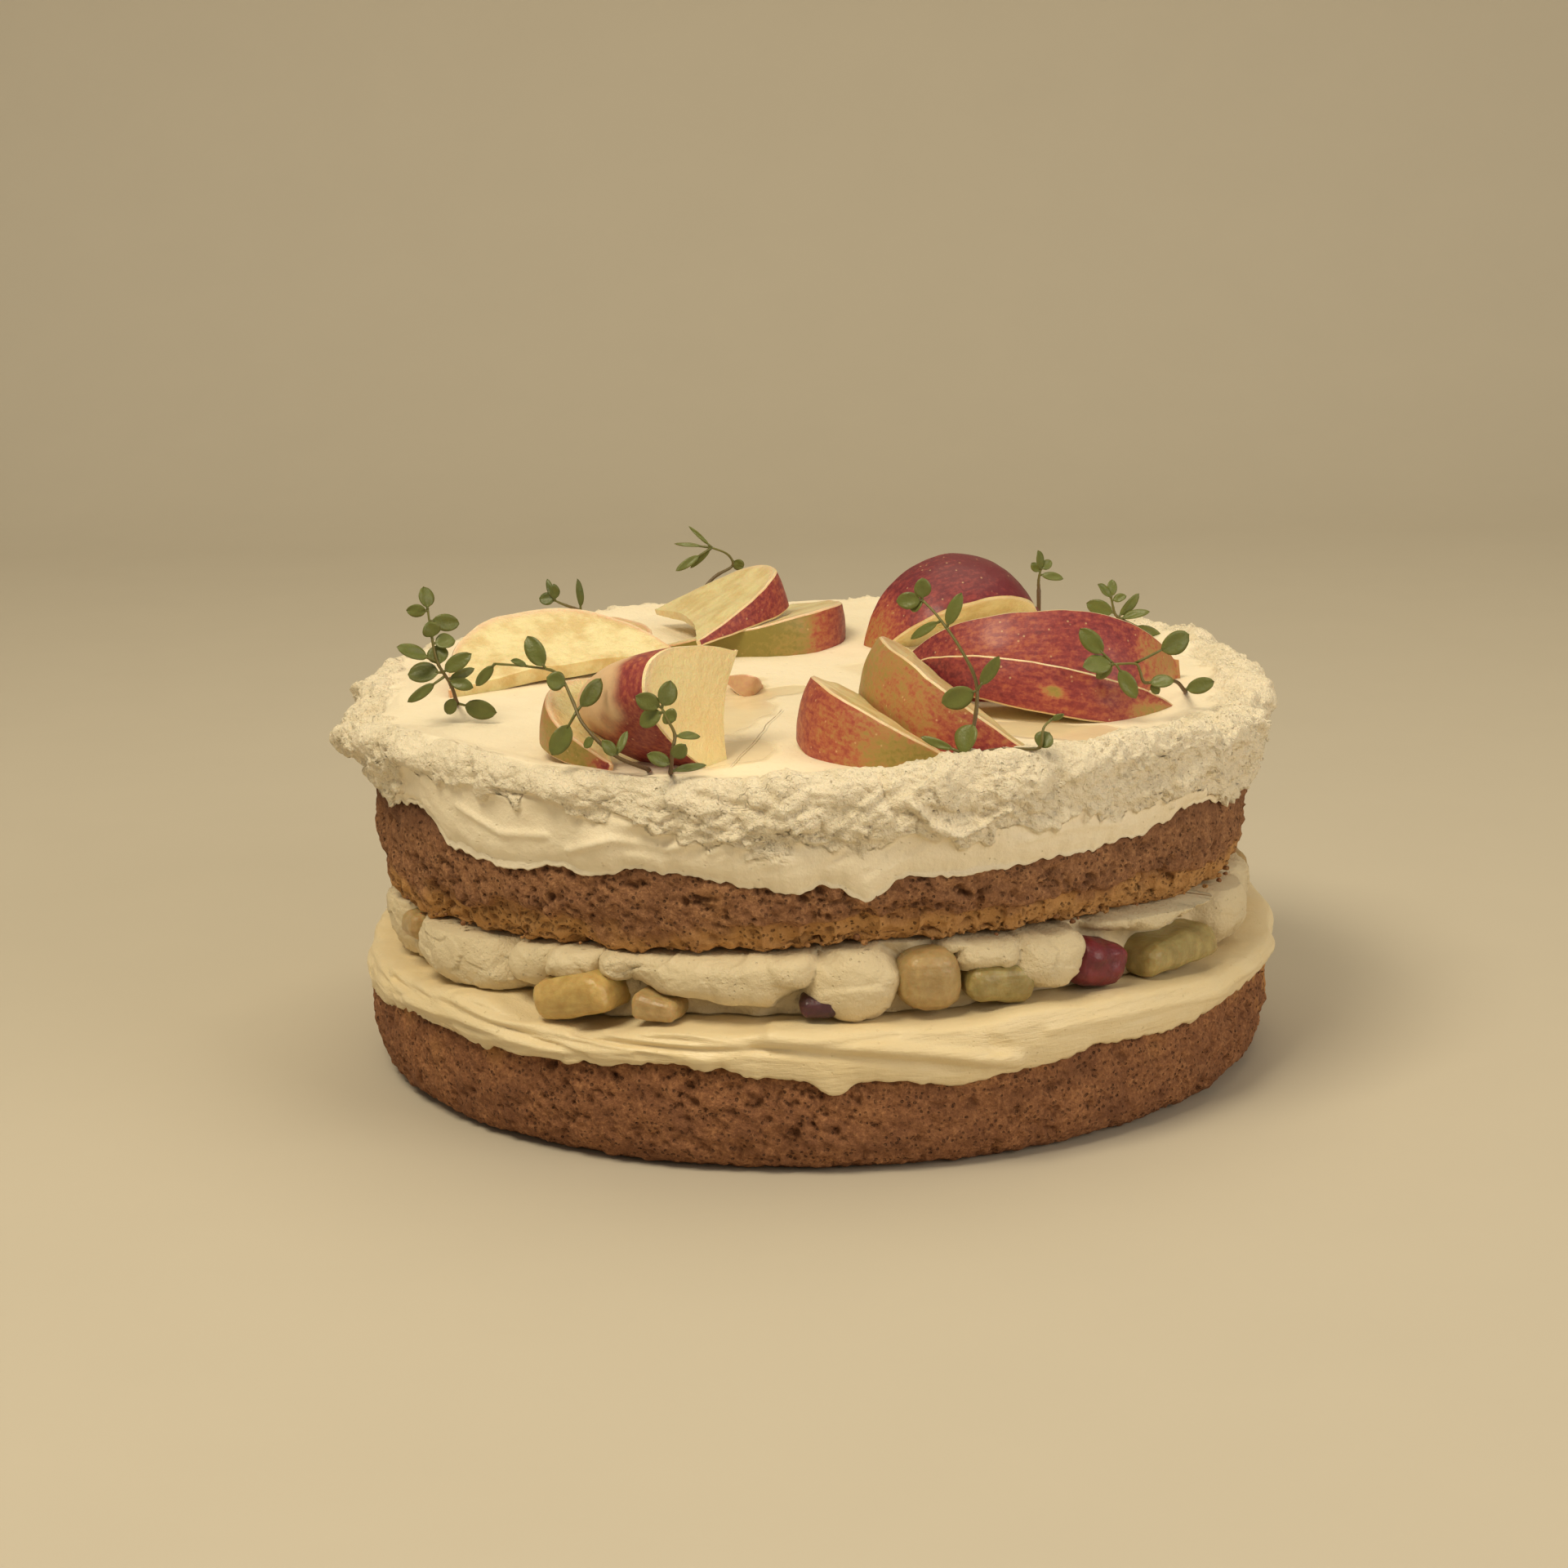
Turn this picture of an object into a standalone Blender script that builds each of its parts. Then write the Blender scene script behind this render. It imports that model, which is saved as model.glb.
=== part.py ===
"""A two-layer sponge cake with whipped cream, apple and thyme, as solids at real size.

Metres, +Z up. The origin is the centre of the bottom sponge's underside. Azimuths are in degrees,
seen from above: 0 is the front (-Y) and 90 is the right-hand side (+X).
"""

import math

import bmesh
import bpy
from mathutils import Matrix, Vector, noise

MM = 0.001
GAP = 0.4 * MM  # clearance between pieces that touch
POCKET_GAP = 0.7 * MM  # how far a pocket in the cream stands off the piece in it

# Heights, from the underside of the bottom sponge
BASE_TOP = 24.0 * MM
FILLING_FLOOR = 30.2 * MM  # top of the lower cream, at the centre
FILLING_ROOF = 43.5 * MM  # underside of the top sponge, at the centre
SPONGE_TOP = 67.0 * MM
CREAM_TOP = 81.0 * MM
CREAM_SLOPE = 0.02  # the top cream rises this much towards the back

# Radii
BASE_RADIUS = 100.0 * MM
UPPER_RADIUS = 96.5 * MM
FILLING_RADIUS = 88.0 * MM
UPPER_SHIFT = Vector((-1.0 * MM, 0.0, 0.0))  # the top half sits a little to the left

SPONGE_TURNS = 64
CREAM_TURNS = 64
TOP_CREAM_TURNS = 92

# Edges that wander round the cake: (azimuth, millimetres)
LOWER_LIP = (
    (-83, 25.5), (-64, 27.6), (-44, 30.4), (-32, 27.2), (-16, 30.2), (0, 30.8), (16, 30.4), (24, 31.6),
    (34, 31.0), (45, 30.2), (59, 27.8), (78, 27.6), (100, 29.8), (128, 28.6), (155, 30.6), (182, 29.2),
    (208, 30.4), (236, 28.8), (258, 29.6),
)
LOWER_HEM = (
    (-83, 17.0), (-63, 20.6), (-54, 21.8), (-44, 21.2), (-31, 21.6), (-16, 22.8), (-4, 21.2), (1, 19.6),
    (6, 20.6), (15, 18.4), (22, 19.5), (34, 22.0), (45, 20.8), (57, 22.2), (72, 22.6), (92, 20.2), (110, 22.4),
    (128, 19.0), (150, 21.6), (171, 22.4), (190, 19.8), (214, 21.8), (238, 20.4), (256, 21.0),
)
SPONGE_UNDERSIDE = (
    (-73, 40.4), (-46, 41.6), (-27, 43.4), (-11, 44.6), (8, 46.0), (29, 45.6), (43, 45.0), (57, 43.3),
    (71, 41.6), (105, 42.4), (150, 43.6), (200, 43.0), (250, 41.4),
)
TOP_HEM = (
    (-84, 65.0), (-70, 64.0), (-57, 66.2), (-49, 59.8), (-39, 58.6), (-32, 60.2), (-27, 59.4), (-21, 62.0),
    (-11, 60.2), (-3, 58.2), (1, 59.6), (6, 56.2), (10, 60.4), (18, 60.0), (29, 61.2), (42, 62.0), (54, 65.0),
    (64, 62.2), (76, 61.4), (88, 63.4), (99, 59.8), (112, 61.6), (123, 58.0), (134, 61.8), (147, 60.0),
    (160, 63.6), (172, 58.8), (185, 61.6), (198, 60.2), (211, 64.2), (223, 58.6), (237, 61.4), (252, 59.8),
)
TOP_RIM = (
    (-84, 75.0), (-77, 79.4), (-57, 82.4), (-41, 81.6), (-29, 81.0), (-19, 80.8), (-6, 81.4), (8, 83.2),
    (18, 84.2), (30, 83.6), (40, 84.0), (54, 83.6), (66, 80.6), (78, 81.6), (95, 82.6), (118, 83.8), (138, 82.6),
    (160, 84.0), (182, 82.8), (205, 84.2), (226, 82.4), (246, 83.4), (262, 80.6),
)
TOP_BULGE = (
    (-85, 104.5), (-62, 102.4), (-40, 100.6), (-15, 101.2), (10, 102.2), (35, 101.4), (60, 102.6), (85, 101.6),
    (115, 102.8), (145, 101.2), (180, 102.4), (215, 101.0), (245, 103.2),
)

# Cream lumps in the filling's side: azimuth, height, half width and half height, how far it stands out (mm, degrees)
FILLING_LUMPS = (
    (-77, 37.0, 9, 6.4, 8.5), (-65, 36.6, 6, 5.0, 7.0), (-53, 36.4, 11.5, 8.2, 11.0), (-38.5, 38.5, 3.8, 6.0, 8.5),
    (-32.5, 39.8, 4.6, 4.6, 10.5), (-25.4, 40.6, 3.6, 3.4, 9.5), (-12.5, 39.6, 11.5, 5.8, 11.0),
    (4, 38.6, 5.8, 7.6, 10.0), (16, 44.0, 6.5, 2.4, 8.0), (20.5, 41.6, 4.2, 4.2, 9.5), (28.2, 39.6, 6.4, 6.2, 11.0),
    (50, 43.2, 14, 2.8, 9.0), (70, 37.6, 8, 6.2, 9.5), (84, 37.0, 9, 5.8, 8.5),
    (107, 37.5, 10, 6.2, 9.0), (125, 39.0, 7, 4.8, 8.5), (143, 37.0, 11, 6.6, 9.5), (163, 39.5, 8, 4.8, 8.0),
    (180, 37.0, 10, 6.2, 9.5), (200, 38.5, 9, 5.2, 8.5), (218, 37.0, 10, 6.2, 9.0), (238, 38.5, 8, 5.2, 8.5),
    (256, 37.0, 11, 6.2, 9.0), (272, 38.0, 8, 5.8, 8.0),
)

# Fruit at the filling's side: azimuth, radius, height of its middle, width, depth, height, lean
CHUNKS = (
    (-66.5, 92, 37.4, 11, 12, 5.4, 0), (-45, 87, 34.0, 12, 12, 6.0, -8), (-31, 93.5, 34.0, 19, 15, 9.0, -15),
    (-20.2, 93, 33.0, 10, 13, 5.4, 8), (-0.7, 91.5, 34.2, 8, 12, 4.4, 0), (13.1, 91.5, 38.3, 13.5, 14, 14.2, 3),
    (22.4, 91, 36.2, 15.5, 13, 7.8, 9), (36.8, 92, 36.4, 14, 12, 10.6, 12), (52, 91, 34.6, 26, 14, 8.4, 0),
    (95, 92, 35.6, 14, 14, 9.0, 6), (134, 91, 35.2, 12, 12, 7.4, -8), (155, 92, 36.0, 15, 14, 8.0, 6),
    (190, 92, 35.8, 13, 14, 8.4, -6), (228, 92, 35.6, 14, 14, 8.0, 0), (247, 91, 34.8, 11, 12, 7.4, 6),
)
RED_CHUNKS = (4, 7, 12)

# Apple wedges on top. Each has the place of its middle (mm), its turn, roll and pitch (degrees), its length,
# its opening angle, the apple's radius there, and how deep its lowest point lies under the cream's surface:
# a wedge that leans on another lies less deep. Roll 0 has the skin up, 90 has it to the front, and -90 to the back.
WEDGES = (
    ("wedge_left_long", -61.5, 16, 25, -79, 3, 56, 24, 31.5, 1.0),
    ("wedge_left_behind", -46.5, 36, -38, -95, -5, 32, 21, 23, 1.5),
    ("wedge_left_red", -31.9, -73.5, 81.8, -46.9, 64.3, 28, 40.8, 35.4, 5.9),
    ("wedge_left_flat", -49.7, -64.8, -93.6, 78.9, -12.5, 39.2, 26.1, 21, 0.4),
    ("wedge_small_end", -14.5, -10, 4.9, 82.6, -17.8, 8, 23.3, 12.9, 1.2),
    ("wedge_back_upright", -17.6, 47.7, 104.1, 70.4, 0.1, 45, 17.3, 31.6, -3.6),
    ("wedge_back_low", -7, 45.2, 52, 88.2, 2.7, 52.2, 21.9, 34.5, 4.0),
    ("wedge_dome", 33.5, 42.1, 20.7, 25.4, 9.6, 46.2, 52.1, 22.9, 4.0),
    ("wedge_red_upper", 47.8, -13.6, -3.5, 71.9, 4, 65.1, 53.5, 28.7, 7.0),
    ("wedge_red_front", 49.5, -36.1, -4.8, 78.5, -11, 58.6, 24.2, 25.5, 3.8),
    ("wedge_front_red", 6.6, -67.5, -65.8, 77.8, -7.3, 49.5, 34.1, 25.5, 2.2),
    ("wedge_front_tall", 22.1, -51.8, -65, 77.7, -12.7, 65.7, 43, 26.7, 6.4),
)
# Wedges that lie against another one and are worn to its shape: (wedge, what it lies against)
LEANING = (
    ("wedge_left_behind", "wedge_left_long"),
    ("wedge_left_behind", "wedge_back_upright"),
    ("wedge_left_behind", "wedge_back_low"),
    ("wedge_left_flat", "wedge_left_red"),
    ("wedge_back_low", "wedge_back_upright"),
    ("wedge_red_upper", "wedge_red_front"),
    ("wedge_front_tall", "wedge_red_front"),
)
WEDGE_CORE = 8.0 * MM  # the core is cut away this far out
WEDGE_STATIONS = 9
WEDGE_ARC = 5

# Thyme: the stem's points (mm), then its leaves: place along the stem, bearing as the front shows it, lean,
# reach from the stem, and width
SPRIGS = (
    ("thyme_upright",
     ((-76, -36, 85), (-77, -38, 89.5), (-79.5, -39, 94.5), (-80.5, -38, 99.5), (-81.5, -36, 106.5)),
     ((0.96, 97, 10, 4.9, 2.9), (0.95, 175, -15, 4.6, 2.2), (0.88, -10, 20, 6.6, 2.9),
      (0.75, 93, -25, 3.8, 3.2), (0.7, 6, 15, 4.8, 2.9), (0.51, 155, -20, 9.2, 2.7),
      (0.46, 97, 30, 4.6, 3.6), (0.39, 34, -10, 7.3, 2.7), (0.39, -176, 15, 7.9, 3.8),
      (0.35, -148, -25, 9.8, 1.8), (0.31, 17, 25, 6.4, 1.6), (0.3, -14, -20, 5.6, 2.2),
      (0.08, -118, 20, 4.5, 2.2), (0, -14, -10, 8.7, 3.4))),
    ("thyme_arching",
     ((-33.5, -91, 82), (-40, -91, 85), (-46, -88, 90.5), (-48.5, -84, 95), (-51.5, -78, 99),
      (-57.5, -70, 99), (-65, -66, 99)),
     ((0.75, 120, 15, 7.6, 3.1), (0.85, 153, -20, 3.6, 1.3), (1, -131, 10, 6.3, 1.8),
      (0.58, 151, -15, 4.2, 3.1), (0.42, 49, 20, 8.2, 2.9), (0.42, -121, -10, 10, 3.2),
      (0.27, -134, 15, 3.1, 1.6), (0.16, 125, -20, 4.3, 2), (0.16, 65, 25, 5.6, 1.3))),
    ("thyme_front_small",
     ((-29, -96, 82.5), (-28.5, -97, 87), (-28, -96, 90), (-29.5, -95, 93), (-30.5, -94, 95)),
     ((0.99, 68, 10, 5.6, 3.4), (1, 152, -15, 5.7, 2.9), (0.9, -151, 20, 5.9, 2.9),
      (0.9, -36, -20, 2.9, 2.7), (0.48, -4, 15, 5.1, 1.4), (0.16, 45, -10, 4, 2.5),
      (0.01, 8, 20, 7.4, 1.3), (0.09, 151, -25, 5.3, 2.2))),
    ("thyme_back_left",
     ((-55, 62, 87.5), (-57.5, 62, 88.5), (-60, 62, 89.5), (-61.5, 61, 90.5)),
     ((0.92, 170, 10, 4.1, 2.5), (0.95, 91, -15, 4.3, 2), (1, 109, 20, 5.5, 1.3),
      (0.03, 90, -10, 7.9, 1.6))),
    ("thyme_back_high",
     ((-27.5, 70, 89), (-23, 72, 93.5), (-19, 74, 95.5), (-18.5, 74, 97), (-20, 74, 99),
      (-23.5, 74, 100.5)),
     ((1, 136, 10, 7.8, 0.8), (1, -150, -20, 10.6, 1.6), (1, 174, 15, 9.5, 0.9), (1, -137, -10, 7.3, 1.1),
      (0.62, -36, 20, 3.5, 2.2))),
    ("thyme_tall",
     ((28.5, -91, 84), (30.5, -90, 90), (31, -88, 97.5), (28, -85, 104), (24, -81, 109.5),
      (21, -78, 112.5)),
     ((0.99, -179, 10, 5.4, 2.7), (1, 89, -20, 4.7, 2.7), (0.98, -144, 25, 3.4, 2),
      (0.72, 69, -10, 7.6, 2.2), (0.77, -149, 20, 7.6, 1.6), (0.36, 59, -15, 8.4, 2.2),
      (0.36, -159, 10, 7.6, 3.6), (0.2, -120, -25, 6.5, 4), (0, 160, 15, 9.4, 1.4))),
    ("thyme_front_curl",
     ((29.5, -91, 83.5), (33.5, -91, 84.5), (38, -90, 84.5), (42.5, -90, 84.5), (43.5, -91, 85.5),
      (44, -90, 88.5), (45.5, -89, 90)),
     ((0.54, 55, 10, 3.8, 3.1), (1, 24, -15, 2.9, 1))),
    ("thyme_back_right",
     ((56, 71, 89), (56, 71, 91.5), (56.5, 71, 94)),
     ((0.88, 133, 10, 3.1, 1.7), (1, 96, -15, 5, 1.9), (1, 37, 20, 3.6, 1.9), (0.75, -8, -10, 5.9, 1.7))),
    ("thyme_right_star",
     ((73.5, 40, 86.5), (71.5, 40, 88), (70.5, 40, 92)),
     ((0.55, 160, 10, 7.1, 3.1), (1, 130, -15, 4.8, 1.8), (1, 84, 20, 4.4, 1.9), (0.92, 20, -10, 3.6, 1.6),
      (0.32, 46, 15, 7.6, 2), (0.22, 18, -20, 7.2, 1.8), (0.05, -26, 10, 10.7, 2))),
    ("thyme_right",
     ((78.5, -36, 84.5), (76, -40, 87.5), (72, -44, 88.5), (68.5, -48, 89), (67.5, -48, 91.5),
      (66.5, -48, 93), (62, -48, 93)),
     ((1, 133, 10, 10.2, 3.1), (1, 179, -15, 6.6, 3.6), (1, -137, 20, 4.9, 1.8),
      (0.98, -60, -10, 8.4, 2.7), (0.83, 25, 15, 13.2, 3.8), (0.45, 7, -20, 5.5, 2.5),
      (0.03, 12, 10, 6.9, 2.7), (0.41, -62, -15, 2.9, 1.6))),
)
STEM_RADIUS = 0.55 * MM
STEM_SIDES = 4
STEM_POINTS = 7
ROOT_DEPTH = 2.0 * MM  # how far the stem's foot reaches below the cream's surface
BLADE_LENGTH = 6.8 * MM  # a leaf that reaches further than this has a stalk
LEAF_THICKNESS = 0.7 * MM


def clear_scene():
    for obj in list(bpy.data.objects):
        bpy.data.objects.remove(obj)


def material(name, colour, roughness):
    made = bpy.data.materials.new(name)
    made.use_nodes = True
    made.diffuse_color = (*colour, 1)
    shader = made.node_tree.nodes["Principled BSDF"]
    shader.inputs["Base Color"].default_value = (*colour, 1)
    shader.inputs["Roughness"].default_value = roughness
    shader.inputs["Metallic"].default_value = 0
    return made


def add_object(name, mesh, finish, smooth=True):
    mesh.materials.append(finish)
    mesh.validate()
    if smooth:
        mesh.shade_smooth()
        mesh.set_sharp_from_angle(angle=math.radians(40))
    obj = bpy.data.objects.new(name, mesh)
    bpy.context.scene.collection.objects.link(obj)
    return obj


def mesh_of(name, points, faces):
    mesh = bpy.data.meshes.new(name)
    mesh.from_pydata([tuple(p) for p in points], [], faces)
    return mesh


def around(pairs, azimuth):
    """The value at an azimuth, eased between the two nearest of (azimuth, value) pairs round the circle."""
    ordered = sorted((a % 360, value) for a, value in pairs)
    azimuth %= 360
    for k, (start, low) in enumerate(ordered):
        end, high = ordered[(k + 1) % len(ordered)]
        span = (end - start) % 360
        passed = (azimuth - start) % 360
        if passed <= span:
            share = (1 - math.cos(math.pi * passed / span)) / 2
            return low + (high - low) * share
    return ordered[0][1]


def point_at(azimuth, radius, z):
    angle = math.radians(azimuth)
    return Vector((radius * math.sin(angle), -radius * math.cos(angle), z))


def lumps(point, size, seed):
    """Smooth unevenness from -1 to 1, with lumps about the given size across."""
    return noise.noise(point / size + Vector((seed, 2.3 * seed, -seed)))


# ---------------------------------------------------------------- layers


def ring_solid(name, section, turns, top_z, bottom_z):
    """A closed layer: section(azimuth) runs from near the centre of the top, over the rim, to near the centre below."""
    rings = [section(360 * k / turns) for k in range(turns)]
    rows = len(rings[0])
    points = [point for ring in rings for point in ring]
    top, bottom = len(points), len(points) + 1
    points += [Vector((0, 0, top_z)), Vector((0, 0, bottom_z))]
    faces = []
    for k in range(turns):
        here, following = k * rows, (k + 1) % turns * rows
        faces.append((top, here, following))
        for row in range(rows - 1):
            faces.append((here + row, here + row + 1, following + row + 1, following + row))
        faces.append((bottom, following + rows - 1, here + rows - 1))
    return mesh_of(name, points, faces)


def sponge_side(radius, azimuth, z, seed):
    """Radius of a sponge's side: a tin's circle, a little uneven."""
    return radius + 0.6 * MM * lumps(point_at(azimuth, radius, z), 30 * MM, seed)


def base_side(azimuth, z=12 * MM):
    return sponge_side(BASE_RADIUS, azimuth, z, 3)


def upper_side(azimuth, z=56 * MM):
    return sponge_side(UPPER_RADIUS, azimuth, z, 8)


def between(centre_z, edge_pairs, azimuth, radius, edge_radius):
    """A surface that is straight from the centre's height to an edge that wanders."""
    edge_z = around(edge_pairs, azimuth) * MM
    return centre_z + (edge_z - centre_z) * radius / edge_radius


def filling_floor(azimuth, radius):
    return between(FILLING_FLOOR, LOWER_LIP, azimuth, radius, BASE_RADIUS)


def filling_roof(azimuth, radius):
    return between(FILLING_ROOF, SPONGE_UNDERSIDE, azimuth, radius, UPPER_RADIUS)


def base_sponge_section(azimuth):
    side = base_side(azimuth)
    return [
        point_at(azimuth, radius, z)
        for radius, z in (
            (side - 2.5 * MM, BASE_TOP),
            (side - 0.5 * MM, BASE_TOP - 1.2 * MM),
            (side + 0.3 * MM, 14 * MM),
            (side - 0.8 * MM, 6 * MM),
            (side - 3.2 * MM, 1.8 * MM),
            (side - 7.5 * MM, 0),
        )
    ]


def upper_sponge_section(azimuth):
    side = upper_side(azimuth)
    crumble = 1.2 * MM * lumps(point_at(azimuth, side, 0), 9 * MM, 21)
    low = side - 4.5 * MM + crumble
    underside = filling_roof(azimuth, low)
    return [
        point_at(azimuth, radius, z)
        for radius, z in (
            (side - 2.5 * MM, SPONGE_TOP),
            (side - 0.7 * MM, SPONGE_TOP - 0.7 * MM),
            (side, SPONGE_TOP - 2.5 * MM),
            (side + 0.2 * MM, (SPONGE_TOP + underside) / 2),
            (side - 1.4 * MM + crumble, underside + 5 * MM),
            (side - 3.0 * MM + crumble, underside + 1.6 * MM),
            (low, underside),
        )
    ]


def lower_cream_section(azimuth):
    side = base_side(azimuth)
    hem = around(LOWER_HEM, azimuth) * MM
    lip = filling_floor(azimuth, BASE_RADIUS)
    fold = 0.8 * MM * lumps(point_at(azimuth, side, 0), 14 * MM, 5)
    return [
        point_at(azimuth, radius, z)
        for radius, z in (
            (50 * MM, filling_floor(azimuth, 50 * MM)),
            (94 * MM, filling_floor(azimuth, 94 * MM)),
            (side + 0.4 * MM, lip),
            (side + 2.2 * MM + fold, lip - 1.8 * MM),
            (side + 2.4 * MM + fold, (lip + 2 * hem) / 3),
            (side + 1.3 * MM, hem),
            (side + GAP, hem + 0.7 * MM),
            (side + GAP, BASE_TOP - 0.4 * MM),
            (side - 1.0 * MM, BASE_TOP + GAP),
        )
    ]


def filling_side(azimuth, z):
    """Radius of the filling cream's side, with its dollops standing out."""
    radius = FILLING_RADIUS
    for middle, height, half_width, half_height, out in FILLING_LUMPS:
        turn = (azimuth - middle + 180) % 360 - 180
        reach = (turn / half_width) ** 2 + ((z / MM - height) / half_height) ** 2
        radius = max(radius, FILLING_RADIUS + out * MM * math.sqrt(max(0, 1 - reach)))
    return radius + 0.5 * MM * lumps(point_at(azimuth, radius, z), 7 * MM, 11)


def filling_section(azimuth):
    floor, roof = filling_floor(azimuth, FILLING_RADIUS) + GAP, filling_roof(azimuth, FILLING_RADIUS) - GAP
    rows = [(50 * MM, filling_roof(azimuth, 50 * MM) - GAP), (84 * MM, filling_roof(azimuth, 84 * MM) - GAP)]
    for share in (0.04, 0.2, 0.4, 0.6, 0.8, 0.96):
        z = roof + (floor - roof) * share
        rows.append((filling_side(azimuth, z), z))
    rows += [(84 * MM, filling_floor(azimuth, 84 * MM) + GAP), (50 * MM, filling_floor(azimuth, 50 * MM) + GAP)]
    ring = []
    for radius, z in rows:
        # a dollop that stands out past the sponge and the lower cream keeps clear of both
        z = min(z, filling_roof(azimuth, radius) - GAP)
        z = max(z, filling_floor(azimuth, min(radius, BASE_RADIUS)) + GAP)
        ring.append(point_at(azimuth, radius, z))
    return ring


def cream_surface(point):
    """Height of the top cream's flat middle at a place."""
    return CREAM_TOP + CREAM_SLOPE * point.y + 0.5 * MM * lumps(Vector((point.x, point.y, 0)), 28 * MM, 17)


def top_cream_section(azimuth):
    side = upper_side(azimuth)
    bulge = around(TOP_BULGE, azimuth) * MM
    hem = around(TOP_HEM, azimuth) * MM
    edge = point_at(azimuth, bulge, 0)
    crest = around(TOP_RIM, azimuth) * MM + 0.7 * MM * lumps(edge, 12 * MM, 31)
    crag = 1.5 * MM * lumps(edge, 7 * MM, 41)
    dent = 1.5 * MM * lumps(edge, 10 * MM, 51)
    face = crest - hem
    rows = [(share * bulge, None) for share in (0.28, 0.54, 0.74, 0.87)]
    rows += [
        (0.95 * bulge, crest),
        (0.985 * bulge + crag, crest - 0.08 * face),
        (bulge + crag, crest - 0.24 * face),
        (bulge - 0.6 * MM + dent, crest - 0.44 * face),
        (side + 3.6 * MM - dent, crest - 0.66 * face),
        (side + 2.9 * MM, crest - 0.86 * face),
        (side + 1.2 * MM, hem),
        (side + GAP, hem + 0.6 * MM),
        (side + GAP, max(hem + 1.0 * MM, SPONGE_TOP - 1.0 * MM)),
        (side - 1.0 * MM, SPONGE_TOP + GAP),
    ]
    ring = []
    for radius, z in rows:
        point = point_at(azimuth, radius, 0)
        point.z = cream_surface(point) if z is None else z
        ring.append(point)
    return ring


def build_layers(sponge, crust, custard, cream):
    add_object("sponge_bottom", ring_solid("sponge_bottom", base_sponge_section, SPONGE_TURNS, BASE_TOP, 0), crust)
    add_object(
        "cream_lower",
        ring_solid("cream_lower", lower_cream_section, CREAM_TURNS, FILLING_FLOOR, BASE_TOP + GAP),
        custard,
    )
    filling = add_object(
        "cream_filling",
        ring_solid("cream_filling", filling_section, CREAM_TURNS, FILLING_ROOF - GAP, FILLING_FLOOR + GAP),
        cream,
    )
    upper = add_object(
        "sponge_top",
        ring_solid("sponge_top", upper_sponge_section, SPONGE_TURNS, SPONGE_TOP, FILLING_ROOF),
        sponge,
    )
    top = add_object(
        "cream_top",
        ring_solid(
            "cream_top", top_cream_section, TOP_CREAM_TURNS, cream_surface(Vector((0, 0, 0))), SPONGE_TOP + GAP
        ),
        cream,
    )
    for obj in (upper, top):
        obj.location = UPPER_SHIFT
    return filling, top


# ---------------------------------------------------------------- pockets


def stand_off(obj, distance):
    """A helper of the same shape, larger all round, for cutting room for obj."""
    mesh = obj.data.copy()
    work = bmesh.new()
    work.from_mesh(mesh)
    work.normal_update()
    moves = [vertex.normal * distance for vertex in work.verts]
    for vertex, move in zip(work.verts, moves):
        vertex.co += move
    work.to_mesh(mesh)
    work.free()
    cutter = bpy.data.objects.new(obj.name + "_clearance", mesh)
    cutter.matrix_world = obj.matrix_world
    cutter.hide_render = True
    cutter.display_type = "WIRE"
    return cutter


def keep_clear(body, pieces, distance):
    """Cuts room for the pieces out of body, with a gap between them."""
    cutters = bpy.data.collections.new(body.name + "_clearances")
    bpy.context.scene.collection.children.link(cutters)
    for piece in pieces:
        cutters.objects.link(stand_off(piece, distance))
    cutters.hide_render = True
    cut = body.modifiers.new("clearance", "BOOLEAN")
    cut.operation = "DIFFERENCE"
    cut.operand_type = "COLLECTION"
    cut.collection = cutters
    cut.solver = "EXACT"


# ---------------------------------------------------------------- fruit


def chunk_mesh(name, width, depth, height, seed):
    """A cut piece of soft fruit: a box with worn edges and no two sides alike."""
    work = bmesh.new()
    bmesh.ops.create_cube(work, size=1)
    for vertex in work.verts:
        corner = Vector((math.copysign(1, vertex.co.x), math.copysign(1, vertex.co.y), math.copysign(1, vertex.co.z)))
        uneven = Vector([0.16 * noise.noise(corner * 1.7 + Vector((seed + axis, seed, axis))) for axis in range(3)])
        vertex.co += uneven - 0.06 * vertex.co
        vertex.co = Vector((vertex.co.x * width, vertex.co.y * depth, vertex.co.z * height))
    wear = 0.3 * min(width, depth, height)
    bmesh.ops.bevel(work, geom=list(work.edges), offset=wear, segments=1, profile=0.5, affect="EDGES")
    mesh = bpy.data.meshes.new(name)
    work.to_mesh(mesh)
    work.free()
    return mesh


def build_chunks(soft_fruit, red_fruit):
    chunks = []
    for number, (azimuth, radius, z, width, depth, height, lean) in enumerate(CHUNKS):
        name = f"fruit_chunk_{number + 1:02d}"
        mesh = chunk_mesh(name, width * MM, depth * MM, height * MM, number * 3.7)
        obj = add_object(name, mesh, red_fruit if number in RED_CHUNKS else soft_fruit)
        turn = Matrix.Rotation(math.radians(azimuth), 4, "Z") @ Matrix.Rotation(math.radians(lean), 4, "Y")
        obj.matrix_world = Matrix.Translation(point_at(azimuth, radius * MM, z * MM)) @ turn
        chunks.append(obj)
    return chunks


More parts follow.
